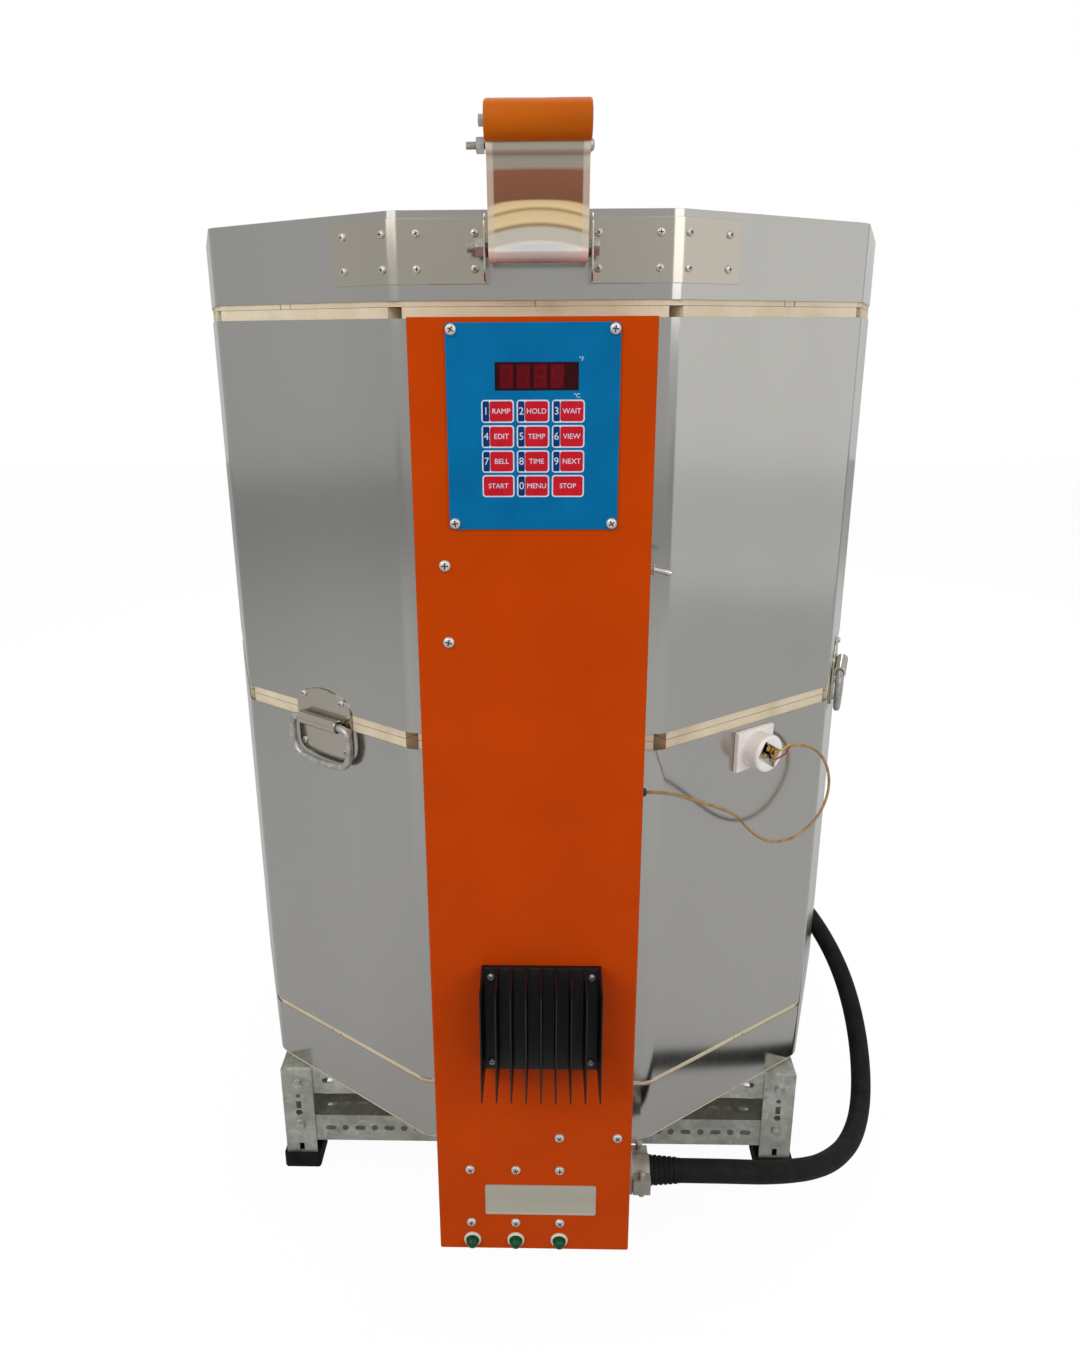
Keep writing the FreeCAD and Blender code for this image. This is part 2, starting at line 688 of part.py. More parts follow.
def controller_board():
    """The controller's circuit board on four pillars behind the plate."""
    y0 = FRONT_Y + STANDOFF
    board = block(PLATE_X - 46, PLATE_X + 46, y0, y0 + BOARD_THICK, PLATE_Z - 64, PLATE_Z + 60)
    chips = block(PLATE_X - 20, PLATE_X + 20, y0 + BOARD_THICK, y0 + BOARD_THICK + 12, PLATE_Z - 50, PLATE_Z - 10)
    board = board.fuse(chips)
    for sx in (-1, 1):
        for z in (PLATE_Z - 58, PLATE_Z + 52):
            board = board.fuse(bar((PLATE_X + sx * 41, FRONT_Y, z), (0, 1, 0), 6, STANDOFF))
    return board.removeSplitter()


def switch_body():
    """The toggle switch: its case inside the wall, its threaded bush and nut outside."""
    x1 = RIGHT_X
    inner = x1 - BOX_SHEET
    case = block(inner - 22, inner, SIDE_Y - 9, SIDE_Y + 9, SWITCH_Z - 14, SWITCH_Z + 14)
    bush = bar((inner, SIDE_Y, SWITCH_Z), (1, 0, 0), SWITCH_BUSH, 9, 12)
    nut = bar((x1, SIDE_Y, SWITCH_Z), (1, 0, 0), 15, 2.6)
    body = case.fuse(bush).fuse(nut)
    bore = taper((inner + 0.5, SIDE_Y, SWITCH_Z), (1, 0, 0), 5, 10, 9)
    seat = bar((x1 + LEVER_PIVOT, SIDE_Y - LEVER_PIN / 2 - 0.1, SWITCH_Z), (0, 1, 0), 2.2, LEVER_PIN + 0.2, 8)
    return body.cut(bore).cut(seat).removeSplitter()


def switch_lever():
    """The metal bat of the toggle, pivoted inside its bush, resting tilted down."""
    pivot = Vector(RIGHT_X + LEVER_PIVOT, SIDE_Y, SWITCH_Z)
    root = pivot - Vector(2, 0, 0)
    bat = taper((root.x, root.y, root.z), (1, 0, 0), 3.2, 5.2, LEVER_LENGTH + 2, 8)
    tip = taper((pivot.x + LEVER_LENGTH, pivot.y, pivot.z), (1, 0, 0), 5.2, 2.8, 2.0, 8)
    pin = rod((pivot.x, pivot.y - LEVER_PIN / 2, pivot.z), (0, 1, 0), 1.8, LEVER_PIN)
    lever = bat.fuse(tip).fuse(pin).removeSplitter()
    lever.rotate(pivot, Vector(0, 1, 0), LEVER_TILT)
    return lever


def wire_bushing():
    """A black strain-relief bushing for the thermocouple lead."""
    flange = bar((RIGHT_X, SIDE_Y, WIRE_BUSH_Z), (1, 0, 0), 13, 3, 12)
    stem = bar((RIGHT_X - 8, SIDE_Y, WIRE_BUSH_Z), (1, 0, 0), WIRE_BUSH_STEM, 8, 12)
    nose = taper((RIGHT_X + 3, SIDE_Y, WIRE_BUSH_Z), (1, 0, 0), 9, 6, WIRE_BUSH_REACH - 3)
    return flange.fuse(stem).fuse(nose).removeSplitter()


def cord_gland():
    """The clamp connector for the power cord: throat, locknut, saddle and its two screws."""
    x1 = RIGHT_X
    throat = bar((x1 - 12, SIDE_Y, GLAND_Z), (1, 0, 0), GLAND_THROAT, 12, 12)
    locknut = bar((x1 - BOX_SHEET - 5, SIDE_Y, GLAND_Z), (1, 0, 0), 40, 5)
    collar = bar((x1, SIDE_Y, GLAND_Z), (1, 0, 0), 42, 6)
    body = throat.fuse(locknut).fuse(collar)
    half = CORD_DIAMETER / 2 + 4
    saddle = block(x1 + 6, x1 + GLAND_REACH, SIDE_Y - half - 9, SIDE_Y + half + 9, GLAND_Z - 9, GLAND_Z + 9)
    round_body = bar((x1 + 6, SIDE_Y, GLAND_Z), (1, 0, 0), 2 * half, GLAND_REACH - 6, 12)
    body = body.fuse(round_body).fuse(saddle)
    for side in (-1, 1):
        y = SIDE_Y + side * (half + 4.5)
        body = body.fuse(bar((x1 + 15, y, GLAND_Z - 13), (0, 0, 1), 6, 28))
    bore = bar((x1 - 20, SIDE_Y, GLAND_Z), (1, 0, 0), CORD_DIAMETER + 1.6, GLAND_REACH + 40, 12)
    return body.cut(bore).removeSplitter()


def thermocouple_block():
    """A white ceramic terminal head, round on its square foot, made on the front facet."""
    z = BLOCK_Z
    x = BLOCK_ALONG
    face = -SKIN_FLAT
    foot = block(x - BLOCK_WIDTH / 2, x + BLOCK_WIDTH / 2, face - 6, face, z - BLOCK_HEIGHT / 2 - 2,
                 z + BLOCK_HEIGHT / 2 + 2)
    head = bar((x, face - 6, z), (0, -1, 0), BLOCK_HEAD, BLOCK_DEPTH - 6, 24)
    rims = [e for e in head.Edges if e.BoundBox.YMax < face - BLOCK_DEPTH + 0.1]
    body = foot.fuse(head.makeChamfer(2.0, rims)).removeSplitter()
    body = body.cut(bar((x, face - 12, z), (0, 1, 0), TUBE_DIAMETER + 2 * HOLE_PLAY, 13, 10))
    recess = block(x - 14, x + 14, face - BLOCK_DEPTH - 1, face - BLOCK_DEPTH + 8, z - 9, z + 9)
    recess.rotate(Vector(x, face, z), Vector(0, 1, 0), TERMINAL_TURN)
    return turned(body.cut(recess), BLOCK_FACET)


def thermocouple_terminals():
    """Four brass screw terminals in the head's recess, two to each wire, set aslant."""
    posts = []
    face = -SKIN_FLAT - BLOCK_DEPTH + 8
    for side in (-1, 1):
        for level in (-1, 1):
            x = BLOCK_ALONG + 7 * side
            z = BLOCK_Z + 4.4 * level
            post = block(x - 5, x + 5, face - 5, face, z - 3.6, z + 3.6)
            post = post.fuse(bar((x, face - 5, z), (0, -1, 0), 5.5, 3.5)).removeSplitter()
            post.rotate(Vector(BLOCK_ALONG, face, BLOCK_Z), Vector(0, 1, 0), TERMINAL_TURN)
            posts.append(turned(post, BLOCK_FACET))
    return posts


def thermocouple_tube():
    """The ceramic protection tube, from the block through the wall into the chamber."""
    start = SKIN_FLAT + 10
    length = start - CHAMBER_FLAT + 37
    sheath = bar((BLOCK_ALONG, -start, BLOCK_Z), (0, 1, 0), TUBE_DIAMETER, length, 10)
    tip = taper((BLOCK_ALONG, length - start, BLOCK_Z), (0, 1, 0), TUBE_DIAMETER, TUBE_DIAMETER - 5, 3)
    return turned(sheath.fuse(tip).removeSplitter(), BLOCK_FACET)


def lid_strap():
    """Two stainless straps round the lid's front corners, each with an ear bent out for the pivot."""
    z0 = STRAP_Z - STRAP_HEIGHT / 2
    z1 = STRAP_Z + STRAP_HEIGHT / 2
    hoop = wrap(SKIN_FLAT, z0, z1, STRAP_THICK, JACKET_CORNER + SHEET)
    corner = SKIN_FLAT * math.tan(HALF_TURN)
    far = 2 * OUTER_FLAT
    straps = []
    for side in (-1, 1):
        ear_x = HANDLE_X + side * EAR_SPACE / 2
        strap = hoop.common(block(min(ear_x, side * far), max(ear_x, side * far), -far, -CHAMBER_FLAT / 2, z0, z1))
        beyond = block(WING_LENGTH - corner, far, -far, 0, z0 - 1, z1 + 1)
        strap = strap.cut(turned(mirrored(beyond, side < 0, False), side))
        outer_x = ear_x + side * STRAP_THICK
        ear = block(min(ear_x, outer_x), max(ear_x, outer_x), PIVOT_Y - EAR_OUT, -SKIN_FLAT, z0, z1)
        tips = [e for e in ear.Edges if e.BoundBox.YMax < PIVOT_Y and e.BoundBox.XLength > STRAP_THICK - 0.1]
        ear = ear.makeFillet(EAR_ROUND, tips)
        strap = strap.fuse(ear).removeSplitter()
        straps.append(strap.cut(bar((ear_x - 5, PIVOT_Y, PIVOT_Z), (1, 0, 0), PIVOT_DIAMETER + HOLE_PLAY, 10, 10)))
    return straps


def strap_screw_places():
    """Screws of the straps as x along the facet, height, and facet."""
    places = []
    for z in (STRAP_Z - 14, STRAP_Z + 14):
        for x in (-99.7, -50.5, 53.0, 105.0):
            places.append((x, z, 0))
        for x in (66.0, 113.0):
            places.append((x, z, -1))
            places.append((-x, z, 1))
    return places


def bracket_outline(shift):
    """The side view of the handle bracket as (y, z) points, its web to the front."""
    web = []
    for i in range(7):
        turn = math.radians(-90 + 15 * i)
        web.append((4 + 13 * math.cos(turn), 1 + 13 * math.sin(turn)))
    web.append((20.0, 22.0))
    web.append((CURL_OUT - 1.0, CURL_UP))
    back = [(CURL_OUT - 12.0, CURL_UP)]
    for i in range(5):
        turn = math.radians(150 + 30 * i)
        back.append((12 * math.cos(turn), 12 * math.sin(turn)))
    return [(PIVOT_Y - u + shift, PIVOT_Z + v) for u, v in web + back]


def handle_bracket():
    """The formed channel of the lid handle, its top edge curled round the cross bolt."""
    x0 = HANDLE_X - BRACKET_WIDTH / 2
    x1 = HANDLE_X + BRACKET_WIDTH / 2
    channel = profile_x(bracket_outline(0), x0, x1)
    hollow = profile_x(bracket_outline(1.15 * BRACKET_SHEET), x0 + BRACKET_SHEET, x1 - BRACKET_SHEET)
    room = block(x0 + BRACKET_SHEET, x1 - BRACKET_SHEET, PIVOT_Y - 3, PIVOT_Y + 40, PIVOT_Z - 20, PIVOT_Z + 30)
    channel = channel.cut(hollow).cut(room)
    curl = bar((x0, PIVOT_Y - CURL_OUT, PIVOT_Z + CURL_UP), (1, 0, 0), CURL_DIAMETER, BRACKET_WIDTH, 12)
    channel = channel.fuse(curl).removeSplitter()
    for out, up, size in ((0, 0, PIVOT_DIAMETER + 1), (CURL_OUT, CURL_UP, PIVOT_DIAMETER - 2)):
        channel = channel.cut(bar((x0 - 5, PIVOT_Y - out, PIVOT_Z + up), (1, 0, 0), size + 2 * HOLE_PLAY,
                                  BRACKET_WIDTH + 10, 10))
    return channel


def handle_pivot_bolt():
    """The long bolt through the ears and the bracket, its nut and thread on the left."""
    left = HANDLE_X - EAR_SPACE / 2 - STRAP_THICK
    right = HANDLE_X + EAR_SPACE / 2 + STRAP_THICK
    bolt = rod((left - 14, PIVOT_Y, PIVOT_Z), (1, 0, 0), PIVOT_DIAMETER, right - left + 14)
    head = bar((right, PIVOT_Y, PIVOT_Z), (1, 0, 0), 13, 5)
    nut = bar((left - 7, PIVOT_Y, PIVOT_Z), (1, 0, 0), 13, 7)
    return bolt.fuse(head).fuse(nut).removeSplitter()


def lid_grip():
    """The turned grip, grooved underneath to sit over the bracket's curl."""
    start = (HANDLE_X - GRIP_LENGTH / 2, PIVOT_Y - GRIP_OUT, PIVOT_Z + GRIP_UP)
    grip = bar(start, (1, 0, 0), GRIP_DIAMETER, GRIP_LENGTH, 16)
    rims = [e for e in grip.Edges if e.BoundBox.XLength < 0.01]
    grip = grip.makeChamfer(1.5, rims)
    groove = bar((start[0] - 5, PIVOT_Y - CURL_OUT, PIVOT_Z + CURL_UP), (1, 0, 0),
                 CURL_DIAMETER + 2 * HOLE_PLAY, GRIP_LENGTH + 10, 12)
    return grip.cut(groove)


def grip_bolts():
    """The cross bolt in the curl, and the small end screw of the grip."""
    x0 = HANDLE_X - BRACKET_WIDTH / 2
    bolt = bar((x0 - 15, PIVOT_Y - CURL_OUT, PIVOT_Z + CURL_UP), (1, 0, 0), PIVOT_DIAMETER - 2,
               BRACKET_WIDTH + 15, 10)
    nut = bar((x0 - 7, PIVOT_Y - CURL_OUT, PIVOT_Z + CURL_UP), (1, 0, 0), 11, 6)
    head = bar((x0 + BRACKET_WIDTH, PIVOT_Y - CURL_OUT, PIVOT_Z + CURL_UP), (1, 0, 0), 10, 3)
    end = HANDLE_X - GRIP_LENGTH / 2
    cap = bar((end - 4, PIVOT_Y - GRIP_OUT, PIVOT_Z + GRIP_UP), (1, 0, 0), 8, 4)
    return [bolt.fuse(nut).fuse(head).removeSplitter(), cap]


def drop_plate():
    """The plate of a drop handle with its barrel, made on the front facet."""
    face = -(SKIN_FLAT)
    z0 = JOINT_Z - DROP_PLATE_DOWN
    z1 = JOINT_Z + DROP_PLATE_UP
    half = DROP_PLATE_WIDTH / 2
    plate = block(-half, half, face - DROP_PLATE_THICK, face, z0, z1)
    corners = [e for e in plate.Edges if e.BoundBox.YLength > DROP_PLATE_THICK - 0.01]
    plate = plate.makeFillet(DROP_PLATE_CORNER, corners)
    out = BARREL_DIAMETER / 2 - 0.5
    barrel = bar((-BARREL_LENGTH / 2, face - DROP_PLATE_THICK - out, JOINT_Z - BARREL_DROP), (1, 0, 0),
                 BARREL_DIAMETER, BARREL_LENGTH, 12)
    plate = plate.fuse(barrel).removeSplitter()
    bore = rod((-BARREL_LENGTH, face - DROP_PLATE_THICK - out, JOINT_Z - BARREL_DROP), (1, 0, 0),
               BAIL_WIRE + 4 * HOLE_PLAY, 2 * BARREL_LENGTH)
    return plate.cut(bore)


def drop_screw_places():
    return ((-28.0, JOINT_Z + 19.0), (28.0, JOINT_Z + 19.0), (-31.0, JOINT_Z - 34.0), (31.0, JOINT_Z - 34.0))


def drop_axis_y():
    return -(SKIN_FLAT + DROP_PLATE_THICK + BARREL_DIAMETER / 2 - 0.5)


def bail():
    """A drop handle's swinging wire: both ends turned into the barrel, made on the front facet."""
    y = drop_axis_y()
    top = JOINT_Z - BARREL_DROP
    low = top - BAIL_DROP
    half = BAIL_WIDTH / 2 - BAIL_WIRE / 2
    tip = BARREL_LENGTH / 2 - BAIL_GRIP
    bend = BAIL_CORNER
    outline = [(-tip, top), (-half + bend / 2, top), (-half, top - bend / 2), (-half, low + bend),
               (-half + bend, low), (half - bend, low), (half, low + bend), (half, top - bend / 2),
               (half - bend / 2, top), (tip, top)]
    path = Part.makePolygon([Vector(x, y, z) for x, z in outline])
    ends = bar((-tip, y, top), (1, 0, 0), BAIL_WIRE, 1, 8).Faces
    ring = min(ends, key=lambda face: face.CenterOfMass.distanceToPoint(Vector(-tip, y, top)))
    return path.makePipeShell([ring.OuterWire], True, False, 1)


def hinge_body_bracket():
    """The body's half of the lid hinge: a plate on the back facet with two ears that stop the lid."""
    face = SKIN_FLAT
    top = RIM_Z - RIM_LINE
    half = BODY_EARS / 2
    plate = block(-half - 10, half + 10, face, face + HINGE_SHEET, top - 90, top)
    ears = []
    for side in (-1, 1):
        x = side * half
        outline = [(face, top - 70), (face, top - 4), (HINGE_Y - 9, HINGE_Z + 9), (HINGE_Y + 5, HEEL_Z),
                   (HINGE_Y + 13, HEEL_Z), (HINGE_Y + 13, top - 45)]
        ears.append(profile_x(outline, min(x, x + side * HINGE_SHEET), max(x, x + side * HINGE_SHEET)))
    stop = block(-half, half, HINGE_Y + 10, HINGE_Y + 13, HINGE_Z - 28, HINGE_Z - 10)
    body = plate.fuse(ears[0]).fuse(ears[1]).fuse(stop).removeSplitter()
    return body.cut(bar((-200, HINGE_Y, HINGE_Z), (1, 0, 0), PIN_DIAMETER + 2 * HOLE_PLAY, 400, 12))


def hinge_lid_bracket():
    """The lid's half of the hinge: a plate on the band's back facet with two ears on the pin."""
    face = SKIN_FLAT
    z0 = LID_Z + LID_BAND_RISE + 4
    z1 = LID_Z + LID_BAND_RISE + LID_BAND_HEIGHT - 8
    half = LID_EARS / 2
    plate = block(-half, half, face, face + HINGE_SHEET, z0, z1)
    ears = []
    for side in (-1, 1):
        x = side * half
        outline = [(face, z0), (HINGE_Y - 4, HINGE_Z - 9), (HINGE_Y + 6, HINGE_Z - 8), (HINGE_Y + 10, HINGE_Z),
                   (HINGE_Y + 6, HINGE_Z + 10), (face + HINGE_SHEET, z1), (face, z1)]
        ears.append(profile_x(outline, min(x, x - side * HINGE_SHEET), max(x, x - side * HINGE_SHEET)))
    body = plate.fuse(ears[0]).fuse(ears[1]).removeSplitter()
    return body.cut(bar((-200, HINGE_Y, HINGE_Z), (1, 0, 0), PIN_DIAMETER + 4 * HOLE_PLAY, 400, 12))


def hinge_pin():
    reach = BODY_EARS / 2 + HINGE_SHEET
    pin = rod((-reach - 8, HINGE_Y, HINGE_Z), (1, 0, 0), PIN_DIAMETER, 2 * reach + 8)
    head = bar((reach, HINGE_Y, HINGE_Z), (1, 0, 0), PIN_DIAMETER + 6, 4, 12)
    return pin.fuse(head).removeSplitter()


def peephole_plug(base):
    """A tapered ceramic plug with a round knob, in the peephole of one section."""
    z = base + 2 * BRICK_HEIGHT
    face = -SKIN_FLAT
    stem = taper((0, face - 0.3, z), (0, 1, 0), PEEP_HOLE - 1, PEEP_NARROW - 1, BRICK_THICK - 6)
    rim = taper((0, face - 20, z), (0, 1, 0), PLUG_KNOB - 10, PLUG_KNOB, 5)
    knob = bar((0, face - 15, z), (0, 1, 0), PLUG_KNOB, 14.7, 10)
    return turned(stem.fuse(knob).fuse(rim).removeSplitter(), PEEP_FACET)


def cord_hook():
    """A bent steel strip on the lower jacket that carries the power cord, made on the front facet."""
    face = -SKIN_FLAT
    x0 = HOOK_ALONG - HOOK_WIDTH / 2
    seat = HOOK_Z - CORD_DIAMETER / 2 - HOLE_PLAY
    out = face - HOOK_REACH
    t = HOOK_SHEET
    points = [(face, seat + HOOK_BACK), (face - t, seat + HOOK_BACK), (face - t, seat), (out + t, seat),
              (out + t, seat + HOOK_LIP), (out, seat + HOOK_LIP), (out, seat - t), (face, seat - t)]
    return turned(profile_x(points, x0, x0 + HOOK_WIDTH), HOOK_FACET)


# The power cord's route: out of the clamp, round the right side, over the hook, down and along the back.
POWER_ROUTE = [
    (RIGHT_X - 8, SIDE_Y, GLAND_Z), (190, SIDE_Y, GLAND_Z), (262, -408, 138), (328, -362, 104),
    (378, -300, 84), (410, -225, 88), (424, -142, 122), (422, -60, 156), (404, 18, 182),
    (380.5, 92, 192), (357, 165, 174), (342, 238, 128), (318, 306, 74), (272, 362, 32),
    (206, 404, 15), (128, 424, 13), (42, 428, 13), (-46, 418, 13), (-134, 404, 15), (-216, 398, 24),
    (-296, 398, 24)]
PLUG_LENGTH = 66.0
PLUG_SLEEVE = 30.0
PLUG_DIAMETER = 46.0
BLADE_LENGTH = 22.0

LEAD_ROUTE = [
    (RIGHT_X + WIRE_BUSH_REACH, SIDE_Y, WIRE_BUSH_Z), (124, SIDE_Y, WIRE_BUSH_Z), (150, -417, 584), (178, -398, 567),
    (200, -376, 548), (215, -352, 522), (236, -332, 498), (262, -310, 484), (289, -291, 486),
    (310, -277, 502), (320, -268, 527), (316, -268, 554), (301, -277, 577), (281, -290, 589), (265, -301, 592)]


def rounded_path(points):
    """Straight runs joined by tangent arcs, each as large as its two runs allow; returns the radii too."""
    corners = [Vector(*p) for p in points]
    edges = []
    radii = []
    start = corners[0]
    for before, corner, after in zip(corners, corners[1:], corners[2:]):
        back = before - corner
        ahead = after - corner
        half = (math.pi - back.getAngle(ahead)) / 2
        cut = 0.45 * min(back.Length, ahead.Length)
        radius = cut / math.tan(half)
        radii.append(round(radius))
        p1 = corner + back.normalize() * cut
        p2 = corner + ahead.normalize() * cut
        inward = (p1 + p2) * 0.5 - corner
        reach = math.hypot(radius, cut) - radius
        middle = corner + inward.normalize() * reach
        edges.append(Part.LineSegment(start, p1).toShape())
        edges.append(Part.Arc(p1, middle, p2).toShape())
        start = p2
    edges.append(Part.LineSegment(start, corners[-1]).toShape())
    return Part.Wire(edges), radii


def tube(points, diameter, name, sides):
    """A cord with flat sides, as thick in section as a round one."""
    path, radii = rounded_path(points)
    first = Vector(*points[1]) - Vector(*points[0])
    across = diameter * math.sqrt(math.pi / sides / math.tan(math.pi / sides))
    start = bar(points[0], (first.x, first.y, first.z), across, 1.0, sides)
    end_face = min(start.Faces, key=lambda face: face.CenterOfMass.distanceToPoint(Vector(*points[0])))
    solid = path.makePipeShell([end_face.OuterWire], True, False)
    print(name, "length", round(path.Length), "least radius", min(radii), "radii", radii,
          "volume share", round(solid.Volume / (end_face.Area * path.Length), 4))
    return solid


def plug_parts():
    """The cord's plug, its tapered sleeve and its three flat blades, lying on the floor."""
    end = Vector(*POWER_ROUTE[-1])
    way = (-1, 0, 0)
    sleeve = taper((end.x, end.y, end.z), way, CORD_DIAMETER + 1.6, CORD_DIAMETER + 10, PLUG_SLEEVE)
    shell = bar((end.x - PLUG_SLEEVE, end.y, end.z), way, PLUG_DIAMETER, PLUG_LENGTH - PLUG_SLEEVE, 12)
    face_x = end.x - PLUG_LENGTH
    blades = []
    for across, up, wide, high in ((-9, -6, 2.4, 9), (9, -6, 2.4, 9), (0, 8, 6, 6)):
        y = end.y + across
        z = end.z + up
        blades.append(block(face_x - BLADE_LENGTH, face_x, y - wide / 2, y + wide / 2, z - high / 2, z + high / 2))
    return sleeve.fuse(shell), blades


def shaped_slab(z0, z1):
    return profile_z(brick_ring(OUTER_FLAT, BRICK_LENGTH / 2), z0, z1)


def main():
    os.makedirs("parts", exist_ok=True)
    holes = wall_holes()

    save("stand_legs", *stand_legs())
    save("stand_top_rails", *stand_rails(STAND_HEIGHT - ANGLE, True))
    save("stand_lower_rails", *stand_rails(LOWER_RAIL_Z, False))
    save("stand_bolts", *stand_bolts())
    save("rubber_feet", *rubber_feet())

    save("floor_slab", shaped_slab(STAND_HEIGHT, SEAM_Z))
    save("floor_slab_band", wrap(JACKET_FLAT, STAND_HEIGHT + SEAM_LINE, SEAM_Z - SEAM_LINE, SHEET, JACKET_CORNER))
    save("lower_bricks", *section_bricks(SEAM_Z, holes))
    save("upper_bricks", *section_bricks(JOINT_Z, holes))
    windows = element_windows(-SKIN_FLAT - 1, -CHAMBER_FLAT)
    lower = wrap(JACKET_FLAT, SEAM_Z + SEAM_LINE, JOINT_Z - JOINT_LINE, SHEET, JACKET_CORNER)
    upper = wrap(JACKET_FLAT, JOINT_Z + JOINT_LINE, RIM_Z - RIM_LINE, SHEET, JACKET_CORNER)
    save("lower_jacket", touching(lower, windows + holes))
    save("upper_jacket", touching(upper, windows + holes))
    save("lower_elements", *elements(SEAM_Z))
    save("upper_elements", *elements(JOINT_Z))
    save("element_pins", *element_pins())

    save("control_box_cover", control_box_cover())
    save("control_box_back", control_box_back())
    save("controller_plate", controller_plate())
    save("display_window", display_window())
    save("keypad", *keypad())
    forward = (0, -1, 0)
    save("controller_screws", *[screw_head((x, FRONT_Y - PLATE_THICK, z), forward) for x, z in plate_screw_places()])
    save("panel_screws", *[screw_head((x, FRONT_Y, z), forward) for x, z in PANEL_SCREWS])
    save("heat_sink", heat_sink())
    save("heat_sink_screws", *[screw_head((x, FRONT_Y - SINK_BASE, z), forward, SMALL_HEAD)
                               for x, z in sink_screw_places()])
    save("pilot_lamps", *pilot_lamps())
    save("pilot_bezels", *pilot_bezels())
    save("solid_state_relays", *relays())
    save("transformer", transformer())
    save("terminal_block", terminal_block())
    save("controller_board", controller_board())
    save("switch_body", switch_body())
    save("switch_lever", switch_lever())
    save("wire_bushing", wire_bushing())
    save("cord_gland", cord_gland())

    save("thermocouple_block", thermocouple_block())
    save("thermocouple_terminals", *thermocouple_terminals())
    save("thermocouple_tube", thermocouple_tube())
    save("thermocouple_lead", tube(LEAD_ROUTE, LEAD_DIAMETER, "thermocouple lead", 5))

    drop_screws = []
    plates = []
    for name, facet in DROP_FACETS.items():
        plates.append(turned(drop_plate(), facet))
        save("handle_bail_" + name, turned(bail(), facet))
        for x, z in drop_screw_places():
            head = screw_head((x, -SKIN_FLAT - DROP_PLATE_THICK, z), forward, SMALL_HEAD)
            drop_screws.append(turned(head, facet))
    save("handle_plates", *plates)
    save("handle_plate_screws", *drop_screws)

    save("lid_slab", shaped_slab(LID_Z, LID_Z + SLAB_THICK))
    band = wrap(JACKET_FLAT, LID_Z + LID_BAND_RISE, LID_Z + LID_BAND_RISE + LID_BAND_HEIGHT, SHEET, JACKET_CORNER)
    save("lid_band", band)
    save("lid_strap", *lid_strap())
    strap_face = -SKIN_FLAT - STRAP_THICK
    save("lid_strap_screws", *[turned(screw_head((x, strap_face, z), forward, SMALL_HEAD), facet)
                               for x, z, facet in strap_screw_places()])
    save("handle_pivot_bolt", handle_pivot_bolt())
    save("handle_bracket", handle_bracket())
    save("lid_grip", lid_grip())
    save("grip_bolts", *grip_bolts())
    save("hinge_body_bracket", hinge_body_bracket())
    save("hinge_lid_bracket", hinge_lid_bracket())
    save("hinge_pin", hinge_pin())

    save("peephole_plug_lower", peephole_plug(SEAM_Z))
    save("peephole_plug_upper", peephole_plug(JOINT_Z))
    save("cord_hook", cord_hook())
    save("power_cord", tube(POWER_ROUTE, CORD_DIAMETER, "power cord", 6))
    body, blades = plug_parts()
    save("plug_body", body)
    save("plug_blades", *blades)


main()
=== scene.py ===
import json
import math

import bpy
from mathutils import Matrix, Vector

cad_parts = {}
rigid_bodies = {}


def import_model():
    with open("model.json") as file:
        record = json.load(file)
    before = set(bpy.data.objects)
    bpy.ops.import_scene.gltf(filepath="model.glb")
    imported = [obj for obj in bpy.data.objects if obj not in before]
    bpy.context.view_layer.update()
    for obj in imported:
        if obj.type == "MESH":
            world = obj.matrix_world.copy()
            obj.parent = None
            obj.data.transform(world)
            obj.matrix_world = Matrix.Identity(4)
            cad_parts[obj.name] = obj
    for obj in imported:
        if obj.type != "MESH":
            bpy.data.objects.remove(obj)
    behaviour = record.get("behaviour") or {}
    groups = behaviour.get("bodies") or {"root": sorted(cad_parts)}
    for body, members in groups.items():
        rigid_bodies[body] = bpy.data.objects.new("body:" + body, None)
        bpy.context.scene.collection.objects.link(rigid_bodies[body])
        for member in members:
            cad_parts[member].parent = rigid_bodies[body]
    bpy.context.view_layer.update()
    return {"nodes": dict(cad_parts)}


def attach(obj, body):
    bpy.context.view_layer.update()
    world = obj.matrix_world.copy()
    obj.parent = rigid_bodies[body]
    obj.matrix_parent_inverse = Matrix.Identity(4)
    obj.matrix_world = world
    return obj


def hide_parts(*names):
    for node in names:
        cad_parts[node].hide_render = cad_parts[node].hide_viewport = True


bpy.ops.object.select_all(action="SELECT")
bpy.ops.object.delete()
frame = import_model()

# Stand
# Four legs and two rings of rails in galvanised slotted angle, punched with a slot and a round hole
# by turns. The rails are bolted inside the legs.
slot_pitch = 0.0184
slot_margin = 0.004
rail_end = 0.045
stand_width = 0.628
stand_depth = 0.530
leg_line = 0.019
axis_y = 0.059
facet_angle = math.pi / 5
quarter_turn = math.pi / 2


def measured(red, green, blue):
    """A colour read in the 0 to 255 scale, in Blender's own numbers."""
    share = [v / 255 for v in (red, green, blue)]
    return (*[v / 12.92 if v <= 0.04045 else ((v + 0.055) / 1.055) ** 2.4 for v in share], 1)


def pick(piece):
    """Only this piece selected and active."""
    bpy.ops.object.select_all(action="DESELECT")
    piece.select_set(True)
    bpy.context.view_layer.objects.active = piece


def linked(name, data):
    """A new object in the scene."""
    piece = bpy.data.objects.new(name, data)
    bpy.context.scene.collection.objects.link(piece)
    return piece


def modified(piece, kind, **settings):
    """One modifier set up and applied at once."""
    pick(piece)
    step = piece.modifiers.new(kind.lower(), kind)
    for name, value in settings.items():
        setattr(step, name, value)
    bpy.ops.object.modifier_apply(modifier=step.name)


def smoothed(piece, angle=40):
    """Smooth shading that keeps each edge sharper than the angle."""
    pick(piece)
    bpy.ops.object.shade_smooth_by_angle(angle=math.radians(angle))


